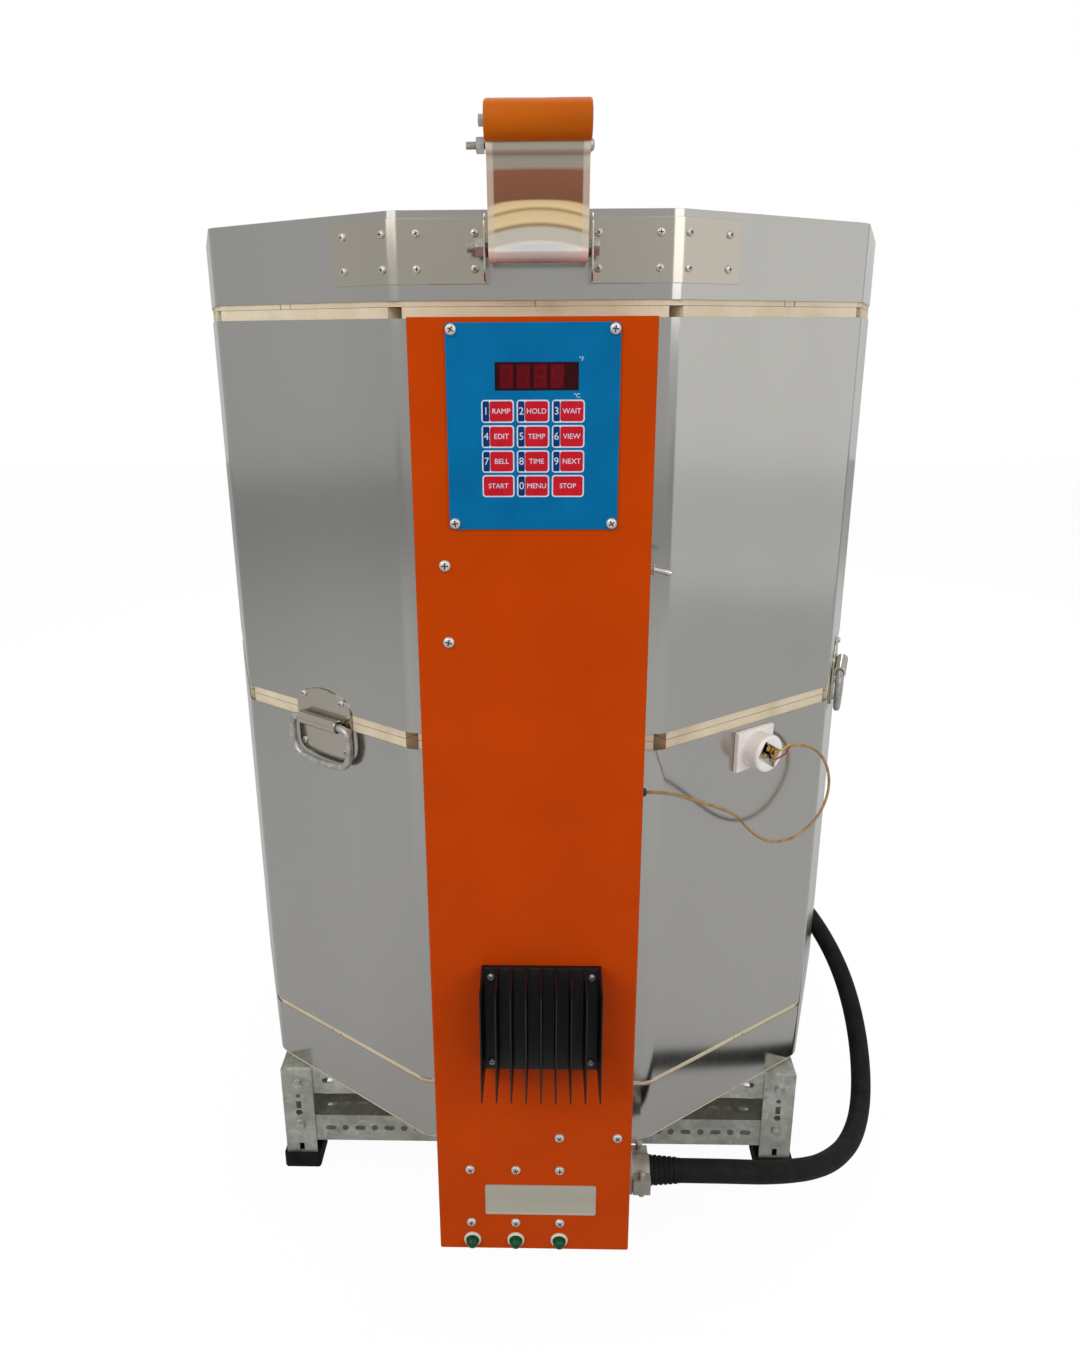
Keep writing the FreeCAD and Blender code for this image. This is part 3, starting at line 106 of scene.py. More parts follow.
def broken_edges(piece, width, segments=2, angle=35):
    """Small rounds on the sharp edges, then smooth shading that keeps the flats flat."""
    modified(piece, "BEVEL", width=width, segments=segments, limit_method="ANGLE",
             angle_limit=math.radians(angle), use_clamp_overlap=True, miter_outer="MITER_ARC")
    smoothed(piece)
    modified(piece, "WEIGHTED_NORMAL", keep_sharp=True)


def joined_copy(node):
    """A free copy of a CAD piece with its triangles joined into whole faces."""
    piece = linked(node + "_made", frame["nodes"][node].data.copy())
    piece.data.materials.clear()
    pick(piece)
    bpy.ops.object.mode_set(mode="EDIT")
    bpy.ops.mesh.select_all(action="SELECT")
    bpy.ops.mesh.remove_doubles(threshold=0.00002)
    bpy.ops.mesh.dissolve_limited(angle_limit=math.radians(1))
    bpy.ops.object.mode_set(mode="OBJECT")
    return piece


def fitted(piece, body, material, *nodes):
    """The piece in its material, carried by its body, in place of the nodes that it stands for."""
    piece.data.materials.clear()
    piece.data.materials.append(material)
    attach(piece, body)
    if nodes:
        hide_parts(*nodes)
    return piece


def refined(node, name, body, material, width, segments=2):
    """A CAD piece in whole faces, its edges broken, in place of its own node."""
    piece = joined_copy(node)
    piece.name = name
    broken_edges(piece, width, segments)
    return fitted(piece, body, material, node)


def joined(pieces, name):
    """Several pieces made one mesh."""
    bpy.ops.object.select_all(action="DESELECT")
    for piece in pieces:
        piece.select_set(True)
    bpy.context.view_layer.objects.active = pieces[0]
    if len(pieces) > 1:
        bpy.ops.object.join()
    pieces[0].name = name
    return pieces[0]


def settled(piece):
    """Place, turn and size carried into the mesh, so that the object sits at the origin."""
    pick(piece)
    bpy.ops.object.transform_apply(location=True, rotation=True, scale=True)
    return piece


def placed(piece, place, turn=0.0, axis="Y"):
    """The piece's mesh turned about an axis and then moved to its place."""
    piece.data.transform(Matrix.Translation(place) @ Matrix.Rotation(turn, 4, axis))
    return piece


def facet_frame(facet):
    """The turn and shift from the front facet to another of the ten, about the kiln's own axis."""
    return (Matrix.Translation((0, axis_y, 0)) @ Matrix.Rotation(facet * facet_angle, 4, "Z")
            @ Matrix.Translation((0, -axis_y, 0)))


def copies(template, places, name):
    """One modelled piece set out at many places, each copy with its own mesh, then joined."""
    made = []
    for point, direction, turn in places:
        piece = linked(template.name, template.data.copy())
        facing = Vector(direction).to_track_quat("Z", "Y").to_matrix().to_4x4()
        piece.data.transform(Matrix.Translation(point) @ facing @ Matrix.Rotation(turn, 4, "Z"))
        made.append(piece)
    bpy.data.objects.remove(template)
    return joined(made, name)


def add_node(tree, kind, inputs=None, **settings):
    """A shader node, each of its inputs set to a value or linked to another node's output."""
    node = tree.nodes.new("ShaderNode" + kind)
    for name, value in settings.items():
        setattr(node, name, value)
    for name, value in (inputs or {}).items():
        if isinstance(value, bpy.types.NodeSocket):
            tree.links.new(value, node.inputs[name])
        else:
            node.inputs[name].default_value = value
    return node


def maths(tree, operation, *values):
    """What a Math node makes of numbers and other nodes' outputs."""
    return add_node(tree, "Math", dict(enumerate(values)), operation=operation).outputs["Value"]


def ranged(tree, value, low=0.0, high=1.0, to_low=0.0, to_high=1.0):
    """One run of values mapped to another and held inside it."""
    ends = {"Value": value, "From Min": low, "From Max": high, "To Min": to_low, "To Max": to_high}
    return add_node(tree, "MapRange", ends).outputs["Result"]


def multiplied(tree, first, second):
    """Two colours multiplied."""
    ends = {"Factor": 1.0, "A": first, "B": second}
    return add_node(tree, "Mix", ends, data_type="RGBA", blend_type="MULTIPLY").outputs["Result"]


def found(tree, kind, output):
    """An output of the first node of a kind."""
    return next(n for n in tree.nodes if n.type == kind).outputs[output]


def to_shader(tree, name, value):
    """Another node's output linked to one of the shader's own inputs."""
    tree.links.new(value, tree.nodes["Principled BSDF"].inputs[name])


def patchy(name, dark, light, metallic, rough, patch, grain, depth, stretch=(1, 1, 1),
           rough_spread=0.12, specular=None):
    """A finish with broad uneven patches and a fine grain, both measured in cells per metre."""
    material = bpy.data.materials.new(name)
    material.use_nodes = True
    tree = material.node_tree
    shader = tree.nodes["Principled BSDF"]
    shader.inputs["Metallic"].default_value = metallic
    if specular is not None:
        shader.inputs["Specular IOR Level"].default_value = specular
    place = add_node(tree, "TexCoord").outputs["Object"]
    stretched = add_node(tree, "Mapping", {"Vector": place, "Scale": stretch}).outputs["Vector"]
    patches = add_node(tree, "TexNoise", {"Vector": stretched, "Scale": patch, "Detail": 5})
    colours = add_node(tree, "ValToRGB", {"Fac": patches.outputs["Fac"]})
    for stop, position, colour in zip(colours.color_ramp.elements, (0.32, 0.68), (dark, light)):
        stop.position = position
        stop.color = measured(*colour)
    to_shader(tree, "Base Color", colours.outputs["Color"])
    fine = add_node(tree, "TexNoise", {"Vector": stretched, "Scale": grain, "Detail": 4}).outputs["Fac"]
    low, high = max(0.02, rough - rough_spread), min(1.0, rough + rough_spread)
    to_shader(tree, "Roughness", ranged(tree, fine, to_low=low, to_high=high))
    relief = add_node(tree, "Bump", {"Height": fine, "Distance": depth, "Strength": 1.0})
    to_shader(tree, "Normal", relief.outputs["Normal"])
    return material


def spangled(name, dark, light, rough):
    """Hot-dip zinc: crystals a few millimetres across, each a slightly different grey."""
    material = patchy(name, dark, light, 0.85, rough, 35, 900, 0.00004)
    tree = material.node_tree
    crystals = add_node(tree, "TexVoronoi", {"Vector": found(tree, "MAPPING", "Vector"), "Scale": 170})
    grey = add_node(tree, "RGBToBW", {"Color": crystals.outputs["Color"]}).outputs["Val"]
    share = ranged(tree, grey, to_low=0.80, to_high=1.10)
    to_shader(tree, "Base Color", multiplied(tree, found(tree, "VALTORGB", "Color"), share))
    return material


galvanised = spangled("galvanised_steel", (166, 168, 160), (200, 202, 194), 0.42)


def punch_row(half, start, facing, z, through):
    """Round holes and slots by turns along one side of the stand, as cutters."""
    made = []
    last = int(half / slot_pitch)
    for i in range(-last, last + 1):
        along = i * slot_pitch
        if abs(along) > half - slot_margin:
            continue
        if i % 2:
            bpy.ops.mesh.primitive_cylinder_add(vertices=14, radius=0.0042, depth=0.02)
        else:
            bpy.ops.mesh.primitive_cylinder_add(vertices=14, radius=0.0034, depth=0.02, rotation=(0, 0, 0.1))
            for corner in settled(bpy.context.object).data.vertices:
                corner.co.x += math.copysign(0.0033, corner.co.x)
        punch = bpy.context.object
        at = Matrix.Translation((start[0] + facing[0] * along, start[1] + facing[1] * along, z))
        turn = Matrix.Rotation(math.atan2(facing[1], facing[0]), 4, "Z")
        punch.data.transform(at @ turn @ through)
        made.append(punch)
    return made


def punched_rails(node, z, name, flange_up):
    """A ring of rails with every slot and hole of slotted angle."""
    rails = joined_copy(node)
    half_wide, half_deep = stand_width / 2, stand_depth / 2
    rows = [(0.003, 0, Matrix.Rotation(quarter_turn, 4, "X"))]
    if flange_up:
        rails.data.transform(Matrix.Translation((0, 0, 2 * z)) @ Matrix.Diagonal((1, 1, -1, 1)))
        rails.data.flip_normals()
        rows.insert(0, (0.022, 0.018, Matrix()))
    punches = []
    for inset, rise, through in rows:
        for side in (-1, 1):
            front, flank = (0, axis_y + side * (half_deep - inset)), (side * (half_wide - inset), axis_y)
            punches += punch_row(half_wide - rail_end, front, (1, 0), z + rise, through)
            punches += punch_row(half_deep - rail_end, flank, (0, 1), z + rise, through)
    cutter = joined(punches, name + "_punches")
    modified(rails, "BOOLEAN", object=cutter, operation="DIFFERENCE", solver="EXACT", use_self=True)
    bpy.data.objects.remove(cutter)
    rails.name = name
    broken_edges(rails, 0.0003, 1)
    return fitted(rails, "kiln", galvanised, node)


def flange_spots(x, y, z):
    """The places at one height on the two flanges of a leg: on its side face and on its front face."""
    return ((x * stand_width / 2, axis_y + y * (stand_depth / 2 - leg_line), z),
            (x * (stand_width / 2 - leg_line), axis_y + y * stand_depth / 2, z))


punched_rails("stand_lower_rails", 0.059, "lower_rail_ring", True)
punched_rails("stand_top_rails", 0.130, "top_rail_ring", False)
legs = joined_copy("stand_legs")
legs.name = "angle_legs"
leg_corners = [(x, y) for x in (-1, 1) for y in (-1, 1)]
punches = []
for x, y in leg_corners:
    for z, size in ((0.083, 0.0042), (0.108, 0.0030)):
        for spot, axis in zip(flange_spots(x, y, z), "YX"):
            bpy.ops.mesh.primitive_cylinder_add(vertices=16, radius=size, depth=0.012)
            punches.append(placed(bpy.context.object, spot, quarter_turn, axis))
cutter = joined(punches, "leg_punches")
modified(legs, "BOOLEAN", object=cutter, operation="DIFFERENCE", solver="EXACT")
bpy.data.objects.remove(cutter)
broken_edges(legs, 0.0003, 1)
fitted(legs, "kiln", galvanised, "stand_legs")

# Stand bolts
# Zinc-plated hexagon bolts with a plain washer outside and a nut inside each corner of the stand,
# two through every leg flange.
zinc_plate = patchy("zinc_plated_steel", (150, 150, 145), (190, 190, 184), 0.6, 0.36, 160, 2400, 0.00002)


def choose_faces(piece, direction):
    """Edit mode with only the faces that look one way selected."""
    bpy.ops.object.mode_set(mode="EDIT")
    bpy.ops.mesh.select_all(action="DESELECT")
    bpy.ops.object.mode_set(mode="OBJECT")
    for face in piece.data.polygons:
        face.select = face.normal.dot(Vector(direction)) > 0.9
    bpy.ops.object.mode_set(mode="EDIT")


def hexagon(across, low, high, chamfer):
    """A hexagon head or nut between two levels, its top corners turned down."""
    bpy.ops.mesh.primitive_cylinder_add(vertices=6, radius=across / 2 / math.cos(math.pi / 6),
                                        depth=high - low, location=(0, 0, (low + high) / 2))
    piece = settled(bpy.context.object)
    choose_faces(piece, (0, 0, 1))
    bpy.ops.mesh.inset(thickness=chamfer * 2)
    bpy.ops.transform.translate(value=(0, 0, chamfer * 0.55))
    bpy.ops.object.mode_set(mode="OBJECT")
    return piece


def turned_piece(outline, steps=32, name="turned"):
    """A part turned on a lathe: an outline of (radius, height) points spun round the upright axis."""
    mesh = bpy.data.meshes.new(name)
    mesh.from_pydata([(r, 0, z) for r, z in outline], [(i, i + 1) for i in range(len(outline) - 1)], [])
    piece = linked(name, mesh)
    pick(piece)
    bpy.ops.object.mode_set(mode="EDIT")
    bpy.ops.mesh.select_all(action="SELECT")
    bpy.ops.mesh.spin(steps=steps, angle=2 * math.pi, center=(0, 0, 0), axis=(0, 0, 1))
    bpy.ops.mesh.select_all(action="SELECT")
    bpy.ops.mesh.remove_doubles(threshold=0.00001)
    bpy.ops.mesh.normals_make_consistent(inside=False)
    bpy.ops.object.mode_set(mode="OBJECT")
    smoothed(piece, 35)
    return piece


washer = turned_piece([(0, 0), (0.0068, 0), (0.0068, 0.0009), (0.0066, 0.0011), (0, 0.0011)], 24)
stud = turned_piece([(0, -0.0125), (0.0024, -0.0125), (0.003, -0.0119), (0.003, 0), (0, 0)], 16)
head = hexagon(0.011, 0.0011, 0.0040, 0.0006)
inner_nut = placed(hexagon(0.011, 0, 0.0048, 0.0006), (0, 0, -0.0042), math.pi, "X")
bolt = joined([washer, stud, head, inner_nut], "stand_bolt")
places = []
for z in (0.065, 0.126):
    for x, y in leg_corners:
        side_spot, front_spot = flange_spots(x, y, z)
        places += [(front_spot, (0, y, 0), 0.3 + x + y + z * 9), (side_spot, (x, 0, 0), x - y + z * 7)]
fitted(copies(bolt, places, "stand_bolt_set"), "kiln", zinc_plate, "stand_bolts")

# Rubber feet
# Black moulded rubber boots with rounded corners, pushed over the ends of the legs, a little dusty.
black_rubber = patchy("black_rubber", (18, 18, 18), (31, 30, 29), 0.0, 0.62, 60, 1500, 0.00010, specular=0.10)
refined("rubber_feet", "rubber_boots", "kiln", black_rubber, 0.0011, 3)

# Firebrick
# Soft cream insulating brick, full of small pores, sawn to mitres and stacked dry in three full
# courses and a half course a section. The floor and the lid are slabs of the same brick, cemented.
course_height = 0.1143
courses_a_section = 3.5
section_height = courses_a_section * course_height
section_bases = {"lower": 0.2252, "upper": 0.62525}


def slab_joints(tree, place):
    """Cemented joints in a running bond, between bricks of two slightly different shades."""
    return add_node(tree, "TexBrick", {
        "Vector": place, "Color1": (1, 1, 1, 1), "Color2": (0.93, 0.92, 0.90, 1),
        "Mortar": (0.50, 0.45, 0.38, 1), "Scale": 1.0, "Mortar Size": 0.0006,
        "Brick Width": 2 * course_height, "Row Height": course_height}).outputs["Color"]


def wall_joints(tree, place):
    """Dry joints: a mitre at each of the ten corners and a bed on each course, none at the very base."""
    parts = add_node(tree, "SeparateXYZ", {"Vector": place}).outputs
    bearing = maths(tree, "ARCTAN2", parts["X"], maths(tree, "SUBTRACT", parts["Y"], axis_y))
    mitre = maths(tree, "PINGPONG", maths(tree, "MULTIPLY_ADD", bearing, 1 / facet_angle, 10.5), 0.5)
    mitre_line = ranged(tree, mitre, 0.002, 0.006, 0.45)
    section = maths(tree, "MULTIPLY_ADD", parts["Z"], 1 / section_height, -section_bases["lower"] / section_height)
    courses = maths(tree, "MULTIPLY", maths(tree, "FRACT", section), courses_a_section)
    bed_line = ranged(tree, maths(tree, "PINGPONG", courses, 0.5), 0.004, 0.011, 0.45)
    seated = ranged(tree, parts["Z"], 0.2282, 0.2290, 1, 0)
    return maths(tree, "MINIMUM", mitre_line, maths(tree, "MAXIMUM", bed_line, seated))


def firebrick(name, joints):
    """Insulating brick: sandy, pitted, with the fine dark lines of its joints."""
    material = patchy(name, (210, 194, 165), (230, 216, 189), 0.0, 0.93, 22, 700, 0.0005)
    tree = material.node_tree
    place = found(tree, "MAPPING", "Vector")
    pits = add_node(tree, "TexVoronoi", {"Vector": place, "Scale": 420}).outputs["Distance"]
    pit_share = ranged(tree, pits, 0.0, 0.28, 0.80)
    lined = multiplied(tree, found(tree, "VALTORGB", "Color"), joints(tree, place))
    to_shader(tree, "Base Color", multiplied(tree, lined, pit_share))
    grain = found(tree, "BUMP", "Normal")
    relief = add_node(tree, "Bump", {"Height": pit_share, "Distance": 0.0008, "Normal": grain})
    to_shader(tree, "Normal", relief.outputs["Normal"])
    return material


def resurfaced(node, material):
    """A CAD piece kept as it is, in its real finish."""
    piece = frame["nodes"][node]
    piece.data.materials.clear()
    piece.data.materials.append(material)
    for slot in piece.material_slots:
        slot.material = material


def sawn_bricks(node, base):
    """Every brick of a CAD section as a closed block of its own, its triangles joined."""
    source = frame["nodes"][node].data
    corners, faces, known = [], [], {}
    for face in source.polygons:
        inside = face.center - face.normal * 0.001
        facet = round(math.atan2(inside.x, axis_y - inside.y) / facet_angle) % 10
        course = int((inside.z - base) / course_height)
        ring = []
        for k in face.vertices:
            corner = source.vertices[k].co
            key = (facet, course, *[round(v, 5) for v in corner])
            if key not in known:
                known[key] = len(corners)
                corners.append(corner)
            ring.append(known[key])
        if len(set(ring)) == 3:
            faces.append(ring)
    mesh = bpy.data.meshes.new(node)
    mesh.from_pydata(corners, [], faces)
    bricks = linked(node + "_course_set", mesh)
    pick(bricks)
    bpy.ops.object.mode_set(mode="EDIT")
    bpy.ops.mesh.select_all(action="SELECT")
    bpy.ops.mesh.dissolve_limited(angle_limit=math.radians(1))
    bpy.ops.object.mode_set(mode="OBJECT")
    return bricks


wall_brick = firebrick("insulating_firebrick", wall_joints)
slab_brick = firebrick("cemented_firebrick", slab_joints)
resurfaced("floor_slab", slab_brick)
resurfaced("lid_slab", slab_brick)
for section, base in section_bases.items():
    bricks = sawn_bricks(section + "_bricks", base)
    modified(bricks, "BEVEL", width=0.0008, segments=1, limit_method="ANGLE", angle_limit=math.radians(35))
    fitted(bricks, "kiln", wall_brick, section + "_bricks")

# Heating coils
# Coils of resistance wire, one row in the groove of each full course, oxidised dark grey. Each
# row's two pins go straight out through the front wall.
coil_wire = patchy("oxidised_coil_wire", (70, 62, 58), (104, 94, 88), 0.7, 0.55, 50, 1800, 0.00003)
coil_radius = 0.0041
coil_pitch = 0.0105
steps_a_turn = 6
lining_flat = 0.2973
groove_depth = 0.0140
coil_seat = 0.0045 + 0.0008


def wire_line(name, kind, points, radius, resolution):
    """A round wire drawn by points, and its spline."""
    line = bpy.data.curves.new(name + "_line", "CURVE")
    line.dimensions = "3D"
    spline = line.splines.new(kind)
    spline.points.add(len(points) - 1)
    for knot, place in zip(spline.points, points):
        knot.co = (*place, 1)
    line.bevel_depth = radius
    line.bevel_resolution = resolution
    return linked(name, line), spline


def meshed(piece):
    """A curve or a text made a mesh."""
    pick(piece)
    bpy.ops.object.convert(target="MESH")
    return bpy.context.object


def spoke(tenth):
    """The level direction so many tenths of a turn from the front, about the kiln's axis."""
    return Vector((math.sin(tenth * facet_angle), -math.cos(tenth * facet_angle), 0))


def coil_row(z):
    """One row: a flat turn of wire wound round a straight run, bent to the ten sides."""
    flat = lining_flat + groove_depth - coil_seat
    corner = flat / math.cos(facet_angle / 2)
    count = int(2 * math.pi * flat / coil_pitch) * steps_a_turn
    points = []
    for i in range(count):
        share = i / count * 10
        side = int(share)
        middle = (spoke(side - 0.5) * corner).lerp(spoke(side + 0.5) * corner, share - side)
        turn = 2 * math.pi * i / steps_a_turn
        swing = spoke(side) * coil_radius * math.cos(turn)
        points.append(middle + swing + Vector((0, axis_y, z + coil_radius * math.sin(turn))))
    row, spline = wire_line("coil_row", "POLY", points, 0.0010, 0)
    spline.use_cyclic_u = True
    return meshed(row)


for section, base in section_bases.items():
    rows = [coil_row(base + (course + 0.5) * course_height) for course in range(3)]
    coils = joined(rows, section + "_elements_coiled")
    pick(coils)
    bpy.ops.object.shade_smooth()
    fitted(coils, "kiln", coil_wire, section + "_elements")
resurfaced("element_pins", coil_wire)

# Stainless jackets
# Bright stainless sheet wrapped round the bricks of the floor, each section and the lid, bent at
# the ten corners, so each side is a slightly wavy mirror.
def bright_sheet(name, dark, light, rough):
    """Mill-finished stainless: almost a mirror, with slow waves and faint rolling lines."""
    material = patchy(name, dark, light, 1.0, rough, 3, 420, 0.000004, (1, 1, 0.12), 0.04)
    tree = material.node_tree
    rolled = found(tree, "BUMP", "Normal")
    waves = add_node(tree, "TexNoise", {"Vector": found(tree, "TEX_COORD", "Object"), "Scale": 2.6, "Detail": 1})
    bowed = add_node(tree, "Bump", {"Height": waves.outputs["Fac"], "Distance": 0.0016, "Normal": rolled})
    to_shader(tree, "Normal", bowed.outputs["Normal"])
    return material


stainless = bright_sheet("stainless_sheet", (178, 177, 172), (186, 185, 180), 0.15)
for node, name, body in (("floor_slab_band", "floor_band_sheet", "kiln"),
                         ("lower_jacket", "lower_jacket_sheet", "kiln"),
                         ("upper_jacket", "upper_jacket_sheet", "kiln"), ("lid_band", "lid_band_sheet", "lid")):
    band = joined_copy(node)
    band.name = name
    smoothed(band)
    modified(band, "WEIGHTED_NORMAL", keep_sharp=True, weight=100)
    fitted(band, body, stainless, node)

# Control box
# Sheet-steel cover powder-coated in glossy orange, folded at the front corners, closed over a
# galvanised chassis that stands off the jackets on spacers.
orange_paint = patchy("orange_gloss_paint", (182, 60, 0), (190, 64, 1), 0.0, 0.22, 14, 340, 0.00006,
                      rough_spread=0.05, specular=0.06)
refined("control_box_cover", "box_cover", "kiln", orange_paint, 0.0006)
refined("control_box_back", "box_chassis", "kiln", galvanised, 0.0003, 1)

# Screws
# Zinc-plated pan-head screws with a cross recess. They hold the cover, the controller's plate, the
# heat sink, the lid straps and the drop handles' plates.
bright_zinc = patchy("bright_zinc", (184, 181, 177), (216, 211, 206), 0.55, 0.36, 160, 2400, 0.00002)
recess_shade = patchy("recess_shade", (56, 60, 68), (82, 86, 94), 0.5, 0.5, 160, 2400, 0.00002)
front_y = -0.4245
skin = 0.3746
toward_front = (0, -1, 0)
four_corners = [(x, z) for x in (-1, 1) for z in (-1, 1)]


def pan_screw(radius, rise):
    """A domed head with its cross recess."""
    outline = [(0, 0), (radius, 0), (radius, rise * 0.32), (radius * 0.93, rise * 0.62),
               (radius * 0.78, rise * 0.84), (radius * 0.55, rise * 0.96), (0, rise)]
    screw = turned_piece(outline, 20, "pan_screw")
    for turn in (0, quarter_turn):
        bpy.ops.mesh.primitive_cube_add(size=1)
        blade = bpy.context.object
        blade.data.transform(Matrix.Translation((0, 0, rise * 1.02)) @ Matrix.Rotation(turn, 4, "Z")
                             @ Matrix.Diagonal((radius * 1.15, radius * 0.24, rise * 0.9, 1)))
        modified(screw, "BOOLEAN", object=blade, operation="DIFFERENCE", solver="EXACT")
        bpy.data.objects.remove(blade)
    smoothed(screw, 35)
    screw.data.materials.append(bright_zinc)
    screw.data.materials.append(recess_shade)
    for face in screw.data.polygons:
        inside = math.hypot(face.center.x, face.center.y) < radius * 0.62
        face.material_index = int(inside and rise * 0.3 < face.center.z < rise * 0.93)
    return screw


def driven(radius, rise, places, name, body, node):
    """Screws of one size at all their places, with their shaded recesses."""
    heads = copies(pan_screw(radius, rise), places, name)
    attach(heads, body)
    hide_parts(node)


def on_facet(facet, x, z, proud):
    """A place on one of the ten sides, given in millimetres, and the way out from it."""
    spot = facet_frame(facet) @ Vector((x / 1000, axis_y - skin - proud, z / 1000))
    return spot, Matrix.Rotation(facet * facet_angle, 3, "Z") @ Vector(toward_front)


cover_screws = [(-72.5, 824.0), (-71.0, 759.0), (24.0, 251.0), (81.0, 251.5), (-64.5, 211.0), (-19.0, 211.0),
                (24.5, 211.0), (-64.5, 144.5), (-19.5, 144.5), (25.0, 144.5)]
places = [((x / 1000, front_y, z / 1000), toward_front, i * 1.3) for i, (x, z) in enumerate(cover_screws)]
driven(0.0048, 0.0028, places, "cover_screw_heads", "kiln", "panel_screws")
places = [((-0.0005 + x * 0.0625, front_y - 0.0016, 0.9329 + z * 0.074), toward_front, x + z * 2)
          for x, z in four_corners]
driven(0.0044, 0.0027, places, "plate_screw_heads", "kiln", "controller_screws")
places = [((0.0062 + x * 0.0466, front_y - 0.005, 0.3914 + z * 0.0466), toward_front, x * 2 + z)
          for x, z in four_corners]
driven(0.0035, 0.0025, places, "sink_screw_heads", "kiln", "heat_sink_screws")
strap_rows = (1055.3, 1083.3)
strap_screws = [(x, z, 0) for z in strap_rows for x in (-99.7, -50.5, 53.0, 105.0)]
strap_screws += [(-side * x, z, side) for z in strap_rows for x in (66.0, 113.0) for side in (-1, 1)]
places = [(*on_facet(facet, x, z, 0.0015), i * 0.9) for i, (x, z, facet) in enumerate(strap_screws)]
driven(0.0035, 0.0025, places, "strap_screw_heads", "lid", "lid_strap_screws")
plate_screws = ((-28.0, 644.25), (28.0, 644.25), (-31.0, 591.25), (31.0, 591.25))
places = [(*on_facet(facet, x, z, 0.002), i * 1.1 + facet)
          for facet in (-1, 2, 5) for i, (x, z) in enumerate(plate_screws)]
driven(0.0035, 0.0025, places, "drop_handle_screw_heads", "kiln", "handle_plate_screws")

# Controller
# A blue painted plate with a soft-edged dark red display window and twelve membrane keys, red
# fields in white frames with the number in a navy strip, all printed on one flexible sheet.
controller_blue = patchy("controller_blue", (0, 98, 148), (1, 106, 158), 0.0, 0.42, 30, 900, 0.00004, specular=0.06)
refined("controller_plate", "controller_panel", "kiln", controller_blue, 0.0004)
display_red = patchy("display_red", (40, 1, 7), (52, 3, 11), 0.0, 0.14, 60, 1500, 0.00001,
                     rough_spread=0.03, specular=0.12)
refined("display_window", "display_lens", "kiln", display_red, 0.0006, 3)
key_white = patchy("key_print_white", (188, 202, 222), (204, 216, 232), 0.0, 0.45, 80, 1800, 0.00001, specular=0.08)
key_red = patchy("key_print_red", (182, 20, 34), (196, 28, 42), 0.0, 0.42, 80, 1800, 0.00002, specular=0.08)
key_navy = patchy("key_print_navy", (4, 42, 96), (12, 54, 112), 0.0, 0.42, 80, 1800, 0.00001, specular=0.08)
face_y = front_y - 0.0016
print_y = face_y - 0.00062
print_depth = 0.0001
keys_middle = -0.0005
keys_top = 0.9463
key_step_x = 0.0274
key_step_z = 0.0192
field_high = 0.0152
field_thick = 0.0006


def rounded_tile(wide, high, corner, thick):
    """A thin printed or raised tile with round corners, its front towards -Y."""
    bpy.ops.mesh.primitive_plane_add(size=1)
    tile = bpy.context.object
    tile.data.transform(Matrix.Rotation(quarter_turn, 4, "X") @ Matrix.Diagonal((wide, high, 1, 1)))
    pick(tile)
    bpy.ops.object.mode_set(mode="EDIT")
    bpy.ops.mesh.select_all(action="SELECT")
    bpy.ops.mesh.bevel(offset=corner, segments=5, affect="VERTICES", clamp_overlap=True)
    bpy.ops.mesh.extrude_region_move(TRANSFORM_OT_translate={"value": (0, -thick, 0)})
    bpy.ops.mesh.select_all(action="SELECT")
    bpy.ops.mesh.normals_make_consistent(inside=False)
    bpy.ops.object.mode_set(mode="OBJECT")
    return tile


def flat_text(text, size, place):
    """A printed number or word as a thin upright mesh that faces -Y."""
    bpy.ops.object.text_add()
    letters = bpy.context.object
    letters.data.body = text
    letters.data.size = size
    letters.data.align_x = "CENTER"
    letters.data.align_y = "CENTER"
    letters.data.extrude = print_depth / 2
    return placed(meshed(letters), place, quarter_turn, "X")


key_words = dict(zip("1234567890", "RAMP HOLD WAIT EDIT TEMP VIEW BELL TIME NEXT MENU".split()))
frames, fields, strips, prints = [], [], [], []
for row in range(4):
    for column in range(3):
        x = keys_middle + (column - 1) * key_step_x
        z = keys_top - row * key_step_z
        frames.append(placed(rounded_tile(0.0254, 0.0174, 0.0026, 0.00045), (x, face_y, z)))
        if row == 3 and column != 1:
            fields.append(placed(rounded_tile(0.0232, field_high, 0.0018, field_thick), (x, face_y, z)))
            continue
        field_x, strip_x = x + 0.0027, x - 0.0091
        fields.append(placed(rounded_tile(0.0178, field_high, 0.0018, field_thick), (field_x, face_y, z)))
        strips.append(placed(rounded_tile(0.0050, field_high, 0.0010, field_thick), (strip_x, face_y, z)))
        digit = "0" if row == 3 else str(row * 3 + column + 1)
        prints.append(flat_text(digit, 0.0080, (strip_x, print_y, z)))
        prints.append(flat_text(key_words[digit], 0.0056, (field_x, print_y, z)))
for word, side in (("START", -1), ("STOP", 1)):
    prints.append(flat_text(word, 0.0054, (keys_middle + side * key_step_x, print_y, keys_top - 3 * key_step_z)))
for unit, x, z in (("\u00b0F", 0.0366, 0.9850), ("\u00b0C", 0.0334, 0.9578)):
    prints.append(flat_text(unit, 0.0046, (x, face_y - 0.00008, z)))
for pieces, name, material in ((frames, "key_frames", key_white), (fields, "key_fields", key_red),
                               (strips, "key_number_strips", key_navy), (prints, "key_numbers", key_white)):
    fitted(joined(pieces, name), "kiln", material, "keypad")

